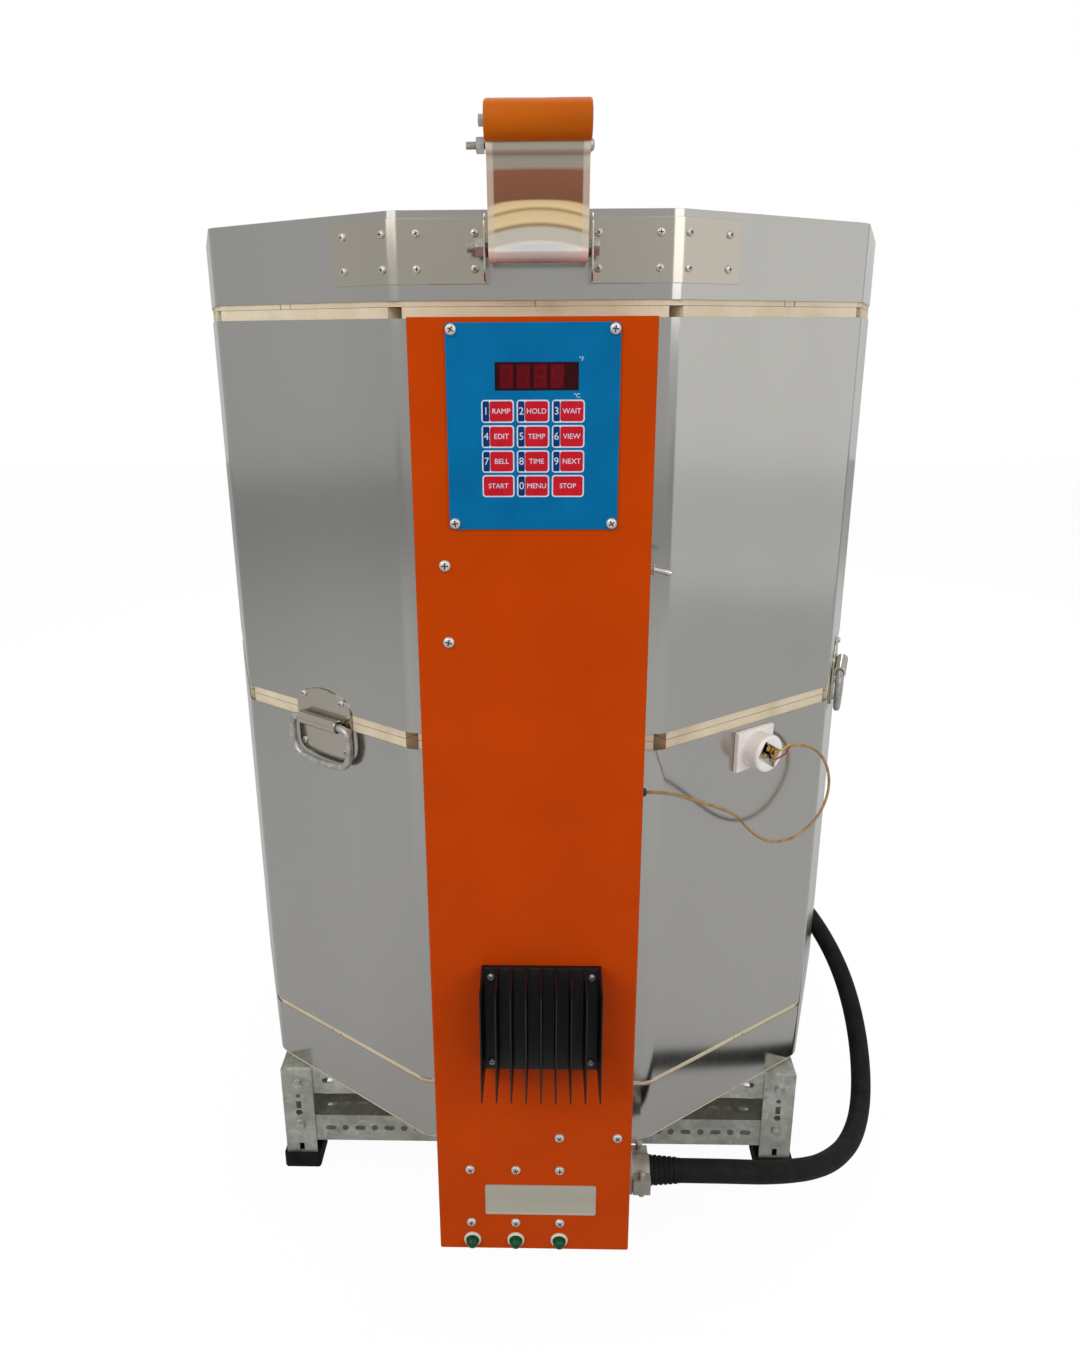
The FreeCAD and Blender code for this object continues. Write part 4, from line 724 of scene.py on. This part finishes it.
# Display digits
# Four unlit digits behind the red window: a red body each, a shade lighter than the window, with
# seven bars that hardly show on it.
body_red = patchy("digit_body_red", (82, 1, 12), (94, 3, 16), 0.0, 0.3, 60, 1500, 0.00001, specular=0.12)
digit_red = patchy("unlit_digit_red", (98, 4, 16), (110, 8, 22), 0.0, 0.3, 60, 1500, 0.00001, specular=0.12)
digit_y = front_y - 0.0021
digit_z = 0.9724
bodies, bars = [], []
for place in range(4):
    x = -0.0014 + (place - 1.5) * 0.0130
    bodies.append(placed(rounded_tile(0.0103, 0.0178, 0.0004, 0.00005), (x, digit_y, digit_z)))
    for dx, dz, upright in ((0, 1, False), (0, 0, False), (0, -1, False), (-1, 0.5, True), (1, 0.5, True),
                            (-1, -0.5, True), (1, -0.5, True)):
        wide, high = (0.0012, 0.0058) if upright else (0.0058, 0.0012)
        spot = (x + dx * 0.0036 + dz * 0.0009, digit_y, digit_z + dz * 0.0068)
        bars.append(placed(rounded_tile(wide, high, 0.0004, 0.00010), spot))
fitted(joined(bodies, "display_digit_bodies"), "kiln", body_red, "display_window")
fitted(joined(bars, "display_digits"), "kiln", digit_red, "display_window")

# Heat sink
# Black anodised aluminium extrusion with nine fins, screwed over the relays' opening in the cover.
# Its drawn lines run up and down.
black_anodised = patchy("black_anodised", (24, 24, 25), (40, 40, 42), 0.55, 0.40, 40, 900, 0.00003, (1, 1, 0.04))
refined("heat_sink", "finned_heat_sink", "kiln", black_anodised, 0.0004)

# Relays, transformer, terminals and board
# What works inside the cover: two moulded solid-state relays on the sink, a laminated transformer,
# a ribbed terminal block and the controller's green circuit board.
black_plastic = patchy("moulded_black_plastic", (26, 26, 27), (36, 36, 37), 0.0, 0.46, 90, 2200, 0.00003)
board_green = patchy("circuit_board_green", (8, 62, 36), (14, 78, 46), 0.0, 0.35, 220, 1600, 0.00003)
for node, material, width in (("solid_state_relays", black_plastic, 0.0012), ("terminal_block", black_plastic, 0.0008),
                              ("transformer", zinc_plate, 0.0008), ("controller_board", board_green, 0.0002)):
    refined(node, node + "_made_up", "kiln", material, width)

# Pilot lamps
# Three green moulded lamps in pale bezels, pushed through the cover along its lower edge, with a
# ribbed domed lens each.
lamp_green = patchy("lamp_lens_green", (2, 62, 34), (8, 80, 44), 0.0, 0.12, 300, 2600, 0.00002,
                    rough_spread=0.03, specular=0.20)
bezel_pale = patchy("lamp_bezel_pale", (206, 204, 186), (222, 219, 202), 0.0, 0.25, 120, 2000, 0.00002)
lens_piece = turned_piece(
    [(0, 0.0104), (0.0015, 0.0102), (0.0030, 0.0095), (0.0042, 0.0084), (0.0053, 0.0069), (0.0060, 0.0052),
     (0.0065, 0.0034), (0.0067, 0.0014), (0.0067, -0.0100), (0, -0.0100)], 32, "lamp_lens")
bezel_piece = turned_piece(
    [(0.0068, 0.0001), (0.0087, 0.0001), (0.0087, 0.0010), (0.0083, 0.0020), (0.0075, 0.0025), (0.0068, 0.0023),
     (0.0068, 0.0001)], 32, "lamp_bezel")
places = [((x, front_y, 0.1225), toward_front, 0) for x in (-0.0637, -0.0196, 0.0245)]
fitted(copies(lens_piece, places, "lamp_lenses"), "kiln", lamp_green, "pilot_lamps")
fitted(copies(bezel_piece, places, "lamp_bezels"), "kiln", bezel_pale, "pilot_bezels")

# Nameplate
# A bare brushed-metal plate with round corners and a raised rim, glued on the cover above the lamps.
brushed_plate = patchy("brushed_nameplate", (172, 169, 154), (192, 189, 174), 0.35, 0.36, 25, 1500, 0.00002,
                       (0.06, 1, 1))
nameplate = placed(rounded_tile(0.1110, 0.0370, 0.0022, 0.0007), (0.0055, front_y, 0.1735))
nameplate.name = "bare_nameplate"
choose_faces(nameplate, toward_front)
bpy.ops.mesh.inset(thickness=0.0016)
bpy.ops.mesh.inset(thickness=0.0004)
bpy.ops.transform.translate(value=(0, 0.0003, 0))
bpy.ops.object.mode_set(mode="OBJECT")
smoothed(nameplate, 30)
fitted(nameplate, "kiln", brushed_plate)

# Toggle switch
# A nickel-plated toggle on the box's right side: case inside, threaded bush and hexagon nut
# outside, and a tapered bat that flips up.
nickel = patchy("nickel_plate", (176, 174, 168), (206, 204, 198), 1.0, 0.20, 200, 2600, 0.00001)
side_y = -0.373
switch_z = 0.810
bpy.ops.mesh.primitive_cube_add(size=1)
case = bpy.context.object
case.data.transform(Matrix.Translation((0.0828, side_y, switch_z)) @ Matrix.Diagonal((0.022, 0.018, 0.028, 1)))
broken_edges(case, 0.0012, 3)
thread_points = [(0.0027, 0)]
for i in range(9):
    thread_z = -0.0012 + i * 0.00115
    thread_points += [(0.0050, thread_z), (0.0055, thread_z + 0.0005)]
thread_points += [(0.0052, 0.0090), (0.0047, 0.0092), (0.0042, 0.0088), (0.0027, 0.0010), (0.0027, 0)]
bush = placed(turned_piece(thread_points, 32, "bush"), (0.0938, side_y, switch_z), quarter_turn)
nut = placed(hexagon(0.015, 0, 0.0026, 0.0004), (0.0950, side_y, switch_z), quarter_turn)
fitted(joined([case, bush, nut], "toggle_switch"), "kiln", nickel, "switch_body")
bat = turned_piece([(0, -0.0020), (0.0016, -0.0020), (0.0017, 0), (0.0026, 0.0175), (0.0026, 0.0190),
                    (0.0022, 0.0202), (0.0012, 0.0209), (0, 0.0210)], 24, "toggle_bat")
placed(bat, (0.098, side_y, switch_z), math.radians(102))
fitted(bat, "switch_lever", nickel, "switch_lever")

# Bushing, cord clamp and cord sleeve
# A moulded nylon bushing for the thermocouple lead, and a cast zinc clamp with two screws for the
# power cord, which leaves it in a ribbed rubber sleeve.
bushing = turned_piece([(0, -0.008), (0.0040, -0.008), (0.0040, 0), (0.0065, 0), (0.0065, 0.0020), (0.0057, 0.0030),
                        (0.0046, 0.0030), (0.0042, 0.0042), (0.0045, 0.0046), (0.0038, 0.0060), (0.0041, 0.0064),
                        (0.0032, 0.0078), (0, 0.0080)], 28, "lead_bushing")
placed(bushing, (0.095, side_y, 0.599), quarter_turn)
fitted(bushing, "kiln", black_plastic, "wire_bushing")
cast_zinc = patchy("cast_zinc", (146, 146, 138), (172, 172, 163), 0.65, 0.48, 70, 1400, 0.00012)
refined("cord_gland", "cord_clamp", "kiln", cast_zinc, 0.0009, 3)
clamp_screw = turned_piece([(0, 0), (0.0038, 0), (0.0038, 0.0012), (0.0030, 0.0024), (0, 0.0028)], 20, "clamp_screw")
places = [((0.110, side_y + side * 0.0205, 0.178), (0, 0, 1), side) for side in (-1, 1)]
fitted(copies(clamp_screw, places, "clamp_screws"), "kiln", zinc_plate)
sleeve_outline = [(0.0121, 0)]
for i in range(6):
    wide, foot = 0.0150 - i * 0.0004, i * 0.0052
    sleeve_outline += [(wide, foot + 0.0005), (wide, foot + 0.0038), (wide - 0.0011, foot + 0.0042),
                       (wide - 0.0011, foot + 0.0053)]
sleeve_outline += [(0.0124, 0.0330), (0.0121, 0.0330), (0.0121, 0)]
sleeve = placed(turned_piece(sleeve_outline, 32, "cord_sleeve"), (0.1185, side_y, 0.163), quarter_turn)
fitted(sleeve, "kiln", black_rubber)

# Thermocouple
# A glazed white ceramic terminal head on the lower section, four brass screws in its slanting
# recess, a ceramic tube into the chamber, and a tan braided lead that ends in a yellow and a red wire.
glazed_white = patchy("glazed_white_ceramic", (232, 228, 223), (246, 242, 238), 0.0, 0.16, 40, 700, 0.00006,
                      rough_spread=0.05)
glazed_white.node_tree.nodes["Principled BSDF"].inputs["Coat Weight"].default_value = 0.6
brass = patchy("brass", (176, 140, 66), (206, 168, 88), 1.0, 0.28, 180, 2400, 0.00002)
refined("thermocouple_block", "terminal_head", "kiln", glazed_white, 0.0010, 3)
refined("thermocouple_terminals", "brass_terminals", "kiln", brass, 0.0004)
resurfaced("thermocouple_tube", glazed_white)


def free_line(name, points, radius, sides=4):
    """A smooth curve through the bends of a cord or wire, given as the points it is drawn towards."""
    wire, spline = wire_line(name, "NURBS", points, radius, sides)
    spline.order_u = 3
    spline.use_endpoint_u = True
    wire.data.use_fill_caps = True
    return wire


def braided(name, dark, light, thread):
    """Fibreglass braid: two sets of slanting threads that cross along the cord's own length."""
    material = patchy(name, dark, light, 0.0, 0.82, 120, 2600, 0.0001)
    tree = material.node_tree
    place = found(tree, "MAPPING", "Vector")
    crossing = []
    for lean in (1, -1):
        slanted = add_node(tree, "Mapping", {"Vector": place, "Rotation": (0.6 * lean, 0.78 * lean, 0.5)})
        wave = add_node(tree, "TexWave", {"Vector": slanted.outputs["Vector"], "Scale": thread})
        crossing.append(wave.outputs["Fac"])
    shade = ranged(tree, maths(tree, "MAXIMUM", *crossing), to_low=0.62)
    to_shader(tree, "Base Color", multiplied(tree, found(tree, "VALTORGB", "Color"), shade))
    return material


lead_points = [(0.103, -0.373, 0.599), (0.124, -0.373, 0.599), (0.150, -0.358, 0.584), (0.178, -0.339, 0.567),
               (0.200, -0.317, 0.548), (0.215, -0.293, 0.522), (0.236, -0.273, 0.498), (0.262, -0.251, 0.484),
               (0.289, -0.232, 0.486), (0.310, -0.218, 0.502), (0.320, -0.209, 0.527), (0.316, -0.209, 0.554),
               (0.301, -0.218, 0.577), (0.281, -0.231, 0.589), (0.265, -0.242, 0.592)]
lead = free_line("thermocouple_braid", lead_points, 0.0015, 3)
lead.data.materials.append(braided("braided_tan", (150, 116, 72), (190, 156, 106), 260))
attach(lead, "kiln")
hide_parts("thermocouple_lead")
for name, dark, light, end in (("yellow", (196, 156, 20), (222, 182, 34), (0.2520, -0.2560, 0.5920)),
                               ("red", (150, 26, 20), (178, 38, 30), (0.2460, -0.2600, 0.5835))):
    wire_points = [(0.2655, -0.2417, 0.592), (0.2622, -0.2452, 0.5922 + (end[2] - 0.588) * 0.6),
                   (0.2585, -0.2515, end[2] + 0.002), end]
    wire = meshed(free_line("wire_end_" + name, wire_points, 0.0008, 2))
    fitted(wire, "kiln", patchy("wire_" + name, dark, light, 0.0, 0.5, 200, 2600, 0.00003))

# Drop handles
# Pressed stainless plates over the joint of the sections, each with a rolled barrel in which a
# zinc-plated wire bail swings. One is at the left front, one at the right, one behind.
polished = bright_sheet("polished_stainless", (182, 176, 164), (194, 188, 176), 0.16)
handle_facets = {"left": -1, "right": 2, "rear": 5}
barrel_y = axis_y - skin - 0.0085
barrel_z = 0.62025
crown = [(x, 0.0366 - 9.2 * x * x) for x in (-0.034, -0.025, -0.016, -0.006, 0.006, 0.016, 0.025, 0.034)]
edge = [(-0.0386, 0.0210), (-0.040, 0.0160), (-0.040, -0.0250), (-0.0388, -0.0310), (-0.0350, -0.0352),
        (-0.0290, -0.0375)]
plate_outline = edge[::-1] + crown + [(-x, z) for x, z in edge]
handle_plates = []
for facet in handle_facets.values():
    plate_mesh = bpy.data.meshes.new("drop_plate_sheet")
    plate_mesh.from_pydata([(x, 0, z) for x, z in plate_outline], [], [list(range(len(plate_outline)))])
    backing = linked("drop_plate_sheet", plate_mesh)
    pick(backing)
    bpy.ops.object.mode_set(mode="EDIT")
    bpy.ops.mesh.select_all(action="SELECT")
    bpy.ops.mesh.extrude_region_move(TRANSFORM_OT_translate={"value": (0, -0.0020, 0)})
    bpy.ops.mesh.select_all(action="SELECT")
    bpy.ops.mesh.normals_make_consistent(inside=False)
    bpy.ops.object.mode_set(mode="OBJECT")
    placed(backing, (0, axis_y - skin, 0.61775))
    broken_edges(backing, 0.0006, 2, 60)
    barrel = turned_piece([(0.0046, -0.028), (0.0064, -0.028), (0.0070, -0.0274), (0.0070, 0.0274), (0.0064, 0.028),
                           (0.0046, 0.028), (0.0046, -0.028)], 32, "barrel")
    placed(barrel, (0, barrel_y, barrel_z), quarter_turn)
    whole = joined([backing, barrel], "drop_plate")
    whole.data.transform(facet_frame(facet))
    handle_plates.append(whole)
fitted(joined(handle_plates, "drop_handle_plates"), "kiln", polished, "handle_plates")
top, low, half, tip, bend = barrel_z, 0.57425, 0.043, 0.020, 0.013
bail_outline = [(-tip, top), (-half + bend / 2, top), (-half, top - bend / 2), (-half, low + bend),
                (-half + bend, low), (half - bend, low), (half, low + bend), (half, top - bend / 2),
                (half - bend / 2, top), (tip, top)]
for name, facet in handle_facets.items():
    bail_wire = meshed(free_line("bail_wire_" + name, [(x, barrel_y, z) for x, z in bail_outline], 0.004, 5))
    bail_wire.data.transform(facet_frame(facet))
    smoothed(bail_wire, 50)
    fitted(bail_wire, "bail_" + name, zinc_plate, "handle_bail_" + name)

# Lid straps and handle
# Stainless straps screwed round the lid's front corners carry a long bolt in two ears. On it turns a
# bright formed bracket whose top edge is curled round a second bolt, under a turned orange grip.
refined("lid_strap", "lid_straps", "lid", polished, 0.0004)
# The formed bracket's colour is painted reflection: bands of pale highlight, grey and warm brown up its height, bowed
# across its width, standing in for the room mirrored in the bent steel.
reflection_painted_sheet = bright_sheet("reflection_painted_stainless", (182, 176, 164), (194, 188, 176), 0.13)
tree = reflection_painted_sheet.node_tree
parts = add_node(tree, "SeparateXYZ", {"Vector": found(tree, "TEX_COORD", "Object")}).outputs
square = maths(tree, "POWER", maths(tree, "SUBTRACT", parts["X"], 0.0032), 2)
bow = ranged(tree, parts["Z"], 1.096, 1.106, 4, 0.4)
bowed_line = maths(tree, "MULTIPLY_ADD", square, bow, parts["Z"])
reflection_ramp = add_node(tree, "ValToRGB", {"Fac": ranged(tree, bowed_line, 1.056, 1.140)})
ramp = reflection_ramp.color_ramp
for stop, position, colour in zip(ramp.elements, (0.02, 0.98), ((150, 160, 160), (170, 166, 150))):
    stop.position = position
    stop.color = measured(*colour)
# Stops of the painted reflection: white highlight bands, pale grey and warm red-brown reflected bands.
for position, colour in ((0.04, (196, 214, 214)), (0.14, (226, 236, 236)), (0.20, (255, 250, 240)),
                         (0.22, (224, 222, 208)), (0.32, (222, 218, 200)), (0.35, (172, 144, 100)),
                         (0.38, (255, 232, 182)), (0.46, (246, 220, 168)), (0.485, (188, 156, 106)),
                         (0.51, (255, 232, 182)), (0.55, (246, 214, 160)), (0.565, (142, 96, 70)),
                         (0.80, (158, 100, 76)), (0.83, (176, 170, 152))):
    ramp.elements.new(position).color = measured(*colour)
# Painted highlight: a pale cream strip down each folded side edge of the bracket, standing in for light caught on the
# bend.
fold_highlight_share = ranged(tree, square, 0.0342 ** 2, 0.0354 ** 2, 0.0, 0.6)
fold_highlighted = add_node(tree, "Mix", {"B": measured(240, 226, 208), "Factor": fold_highlight_share, "A": reflection_ramp.outputs["Color"]},
                 data_type="RGBA")
to_shader(tree, "Base Color", fold_highlighted.outputs["Result"])
curl = maths(tree, "PINGPONG", maths(tree, "SUBTRACT", parts["Z"], 1.057), 0.0415)
to_shader(tree, "Metallic", ranged(tree, curl, 0.005, 0.013, 0.04, 0.56))
refined("handle_bracket", "formed_bracket", "lid_handle", reflection_painted_sheet, 0.0005)


def long_bolt(radius, low, high, thread_from, thread_to):
    """A plain shank with a run of thread cut near one end."""
    outline = [(0, low), (radius * 0.86, low)]
    z = thread_from
    while z < thread_to:
        outline += [(radius * 0.86, z), (radius, z + 0.0005)]
        z += 0.00125
    outline += [(radius, max(thread_to, low + 0.001)), (radius, high), (0, high)]
    return turned_piece(outline, 24, "long_bolt")


left, right = -0.04105, 0.04745
ear_y, ear_z = -0.3455, 1.070
shank = long_bolt(0.0040, left - 0.014, right, left - 0.0138, left + 0.004)
placed(shank, (0, ear_y, ear_z), quarter_turn)
head = placed(hexagon(0.013, 0, 0.005, 0.0007), (right, ear_y, ear_z), quarter_turn)
nut = placed(hexagon(0.013, 0, 0.007, 0.0007), (left, ear_y, ear_z), -quarter_turn)
fitted(joined([shank, head, nut], "handle_bolt"), "lid", zinc_plate, "handle_pivot_bolt")
curl_y, curl_z = -0.3785, 1.140
grip_x, grip_y, grip_z = -0.0378, -0.3825, 1.1565
cross = placed(long_bolt(0.0030, -0.0518, 0.0432, -0.0515, -0.036), (0, curl_y, curl_z), quarter_turn)
cross_head = turned_piece([(0, 0.003), (0.0026, 0.0028), (0.0043, 0.0018), (0.0050, 0.0006), (0.0050, 0), (0, 0)],
                          24, "cross_head")
placed(cross_head, (0.0432, curl_y, curl_z), quarter_turn)
cross_nut = placed(hexagon(0.011, 0, 0.006, 0.0006), (grip_x, curl_y, curl_z), -quarter_turn)
end_cap = placed(hexagon(0.008, 0, 0.004, 0.0006), (grip_x, grip_y, grip_z), -quarter_turn)
fitted(joined([cross, cross_head, cross_nut, end_cap], "grip_fixings"), "lid_handle", zinc_plate, "grip_bolts")
grip_orange = patchy("grip_orange", (172, 80, 2), (194, 98, 8), 0.0, 0.34, 26, 900, 0.00008, (0.25, 1, 1),
                     specular=0.10)
grip = turned_piece([(0, 0), (0.0128, 0), (0.0143, 0.0006), (0.0150, 0.0022), (0.0150, 0.0200), (0.01485, 0.0410),
                     (0.0150, 0.0620), (0.0150, 0.0798), (0.0143, 0.0814), (0.0128, 0.0820), (0, 0.0820)],
                    48, "round_grip")
placed(grip, (grip_x, grip_y, grip_z), quarter_turn)
fitted(grip, "lid_handle", grip_orange, "lid_grip")

# Lid hinge
# Two thick stainless brackets at the back, one on the upper jacket and one on the lid's band, on a
# zinc-plated pin with a domed head. The body's ears stop the lid a little past upright.
refined("hinge_body_bracket", "body_hinge_bracket", "kiln", polished, 0.0007)
refined("hinge_lid_bracket", "lid_hinge_bracket", "lid", polished, 0.0007)
pin = turned_piece([(0, -0.0860), (0.0042, -0.0860), (0.0050, -0.0852), (0.0050, 0.0780), (0.0080, 0.0780),
                    (0.0080, 0.0798), (0.0066, 0.0812), (0.0040, 0.0819), (0, 0.0820)], 32, "hinge_rod")
placed(pin, (0, 0.4625, 1.0333), quarter_turn)
fitted(pin, "kiln", zinc_plate, "hinge_pin")

# Peephole plugs
# Unglazed white ceramic plugs with a grooved knob, one in each section's peephole at the back left.
bisque = patchy("bisque_ceramic", (206, 200, 186), (226, 221, 208), 0.0, 0.72, 60, 900, 0.0002)
plug_outline = [(0, -0.0699), (0.0085, -0.0699), (0.0095, -0.0685), (0.0124, 0.0003), (0.0176, 0.0003),
                (0.0180, 0.0012), (0.0180, 0.0060), (0.0172, 0.0072), (0.0180, 0.0084), (0.0180, 0.0140),
                (0.0166, 0.0166), (0.0132, 0.0197), (0.0080, 0.0200), (0.0070, 0.0188), (0, 0.0186)]
for name, z in (("lower", 0.4538), ("upper", 0.85385)):
    knob = turned_piece(plug_outline, 40, "peephole_knob_" + name)
    placed(knob, (0, axis_y - skin, z), quarter_turn, "X")
    knob.data.transform(facet_frame(-3))
    fitted(knob, "plug_" + name, bisque, "peephole_plug_" + name)

# Cord hook
# A bent strip of galvanised steel on the lower jacket that carries the power cord.
refined("cord_hook", "bent_cord_hook", "kiln", galvanised, 0.0006, 3)

# Power cord and plug
# Stiff black rubber mains cord, 24 mm thick, round the right side, over the hook and along the
# floor behind the stand, to a moulded rubber plug with brass blades.
plug = turned_piece([(0, 0), (0.0128, 0), (0.0128, 0.0010), (0.0150, 0.0180), (0.0170, 0.0290), (0.0215, 0.0310),
                     (0.0230, 0.0330), (0.0230, 0.0400), (0.0218, 0.0412), (0.0218, 0.0426), (0.0230, 0.0438),
                     (0.0230, 0.0640), (0.0218, 0.0660), (0, 0.0660)], 40, "moulded_plug")
placed(plug, (-0.296, 0.457, 0.024), -quarter_turn)
fitted(plug, "kiln", black_rubber, "plug_body")
blades = refined("plug_blades", "plug_blade_set", "kiln", brass, 0.0005)
cord_points = [
    (0.087, -0.373, 0.163), (0.190, -0.373, 0.163), (0.262, -0.349, 0.138), (0.328, -0.303, 0.104),
    (0.378, -0.241, 0.084), (0.410, -0.166, 0.088), (0.424, -0.083, 0.122), (0.422, -0.001, 0.156),
    (0.404, 0.077, 0.182), (0.3805, 0.151, 0.192), (0.357, 0.224, 0.174), (0.342, 0.297, 0.128),
    (0.318, 0.365, 0.074), (0.272, 0.421, 0.032), (0.206, 0.463, 0.015), (0.128, 0.483, 0.013),
    (0.042, 0.487, 0.013), (-0.046, 0.477, 0.013), (-0.134, 0.463, 0.015), (-0.216, 0.457, 0.024),
    (-0.296, 0.457, 0.024)]
cord = free_line("cord", cord_points, 0.012, 6)
cord.data.resolution_u = 16
cord.data.materials.append(black_rubber)
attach(cord, "kiln")
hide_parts("power_cord")

# Studio
# A white floor and backdrop, pale all round, lit softly from above, from both sides and from the
# camera's side, at a level where a colour shows as it is written.
def lamp(name, place, target, size, power):
    """A soft square light aimed at a point."""
    data = bpy.data.lights.new(name, "AREA")
    data.size = size
    data.energy = power
    aim = (Vector(target) - Vector(place)).to_track_quat("-Z", "Y").to_matrix().to_4x4()
    linked(name, data).matrix_world = Matrix.Translation(place) @ aim


def ray_shares(tree):
    """The kinds of rays, and 1 for what the steel mirrors or a lens lets through, 0 for the rest."""
    seen = add_node(tree, "LightPath").outputs
    return seen, maths(tree, "MAXIMUM", seen["Is Glossy Ray"], seen["Is Transmission Ray"])


def blended(tree, share, first, second, output_kind):
    """Two surfaces mixed and linked to the output."""
    both = add_node(tree, "MixShader", {"Fac": share, 1: first, 2: second}).outputs["Shader"]
    output = next(n for n in tree.nodes if n.type == output_kind)
    tree.links.new(both, output.inputs["Surface"])


bpy.ops.mesh.primitive_plane_add(size=1)
floor = bpy.context.object
floor.name = "studio_floor"
floor.data.transform(Matrix.Translation((0, 0, -0.0005)) @ Matrix.Diagonal((14, 14, 1, 1)))
backdrop = bpy.data.materials.new("white_backdrop")
backdrop.use_nodes = True
tree = backdrop.node_tree
shader = tree.nodes["Principled BSDF"]
shader.inputs["Base Color"].default_value = (0.55, 0.55, 0.55, 1)
shader.inputs["Roughness"].default_value = 0.9
glow = add_node(tree, "Emission", {"Strength": 1.06}).outputs["Emission"]
seen, mirrored = ray_shares(tree)
spread = add_node(tree, "SeparateXYZ", {"Vector": add_node(tree, "TexCoord").outputs["Object"]}).outputs
reaches = []
for direction, middle, reach in (("X", 0, 0.30), ("Y", axis_y, 0.215)):
    off = maths(tree, "ABSOLUTE", maths(tree, "SUBTRACT", spread[direction], middle))
    reaches.append(maths(tree, "DIVIDE", off, reach))
shadow = ranged(tree, maths(tree, "MAXIMUM", *reaches), 0.93, 1.0)
in_view = maths(tree, "MULTIPLY", seen["Is Camera Ray"], shadow)
glow_share = maths(tree, "MULTIPLY_ADD", in_view, 0.90, maths(tree, "MULTIPLY", mirrored, 0.12))
blended(tree, glow_share, shader.outputs["BSDF"], glow, "OUTPUT_MATERIAL")
floor.data.materials.append(backdrop)
world = bpy.data.worlds.new("studio_air")
world.use_nodes = True
bpy.context.scene.world = world
tree = world.node_tree
air = tree.nodes["Background"]
air.inputs["Color"].default_value = (0.60, 0.60, 0.60, 1)
air.inputs["Strength"].default_value = 0.72
white = add_node(tree, "Background", {"Color": (1, 1, 1, 1)}).outputs["Background"]
seen, mirrored = ray_shares(tree)
white_share = maths(tree, "MULTIPLY_ADD", mirrored, 0.29, seen["Is Camera Ray"])
blended(tree, white_share, air.outputs["Background"], white, "OUTPUT_WORLD")
lamp("key_light", (-1.8, -2.4, 2.6), (0, 0, 0.6), 2.8, 58)
lamp("fill_light", (1.7, -2.5, 2.2), (0, 0, 0.6), 2.6, 32)
lamp("side_light", (3.0, -0.3, 1.3), (0, 0, 0.7), 3.6, 14.5)
lamp("top_light", (0.2, 0.6, 3.0), (0, 0, 0.9), 2.0, 14)
lamp("back_light", (0.4, 3.0, 1.8), (0, 0.2, 0.6), 2.0, 30)

# Camera
# The photograph's own view, from in front and a little above the lid.
photo_width, photo_height = 1080, 1350
centre_x, centre_y = 522.3, 662.1
lens = bpy.data.cameras.new("camera")
lens.sensor_width = 36
lens.lens = 27.45
lens.shift_x = (photo_width / 2 - centre_x) / photo_height
lens.shift_y = -(photo_height / 2 - centre_y) / photo_height
camera = linked("camera", lens)
pitch, roll, yaw = math.radians(17.88), math.radians(-0.31), math.radians(-1.39)
ahead = Vector((math.sin(yaw) * math.cos(pitch), math.cos(yaw) * math.cos(pitch), -math.sin(pitch)))
level = Vector((math.cos(yaw), -math.sin(yaw), 0))
above = level.cross(ahead)
across = level * math.cos(roll) + above * math.sin(roll)
upward = above * math.cos(roll) - level * math.sin(roll)
camera.matrix_world = Matrix((across, upward, -ahead)).transposed().to_4x4()
camera.location = (0.010, -1.244, 1.0062)
bpy.context.scene.camera = camera
bpy.context.scene.view_settings.view_transform = "Standard"
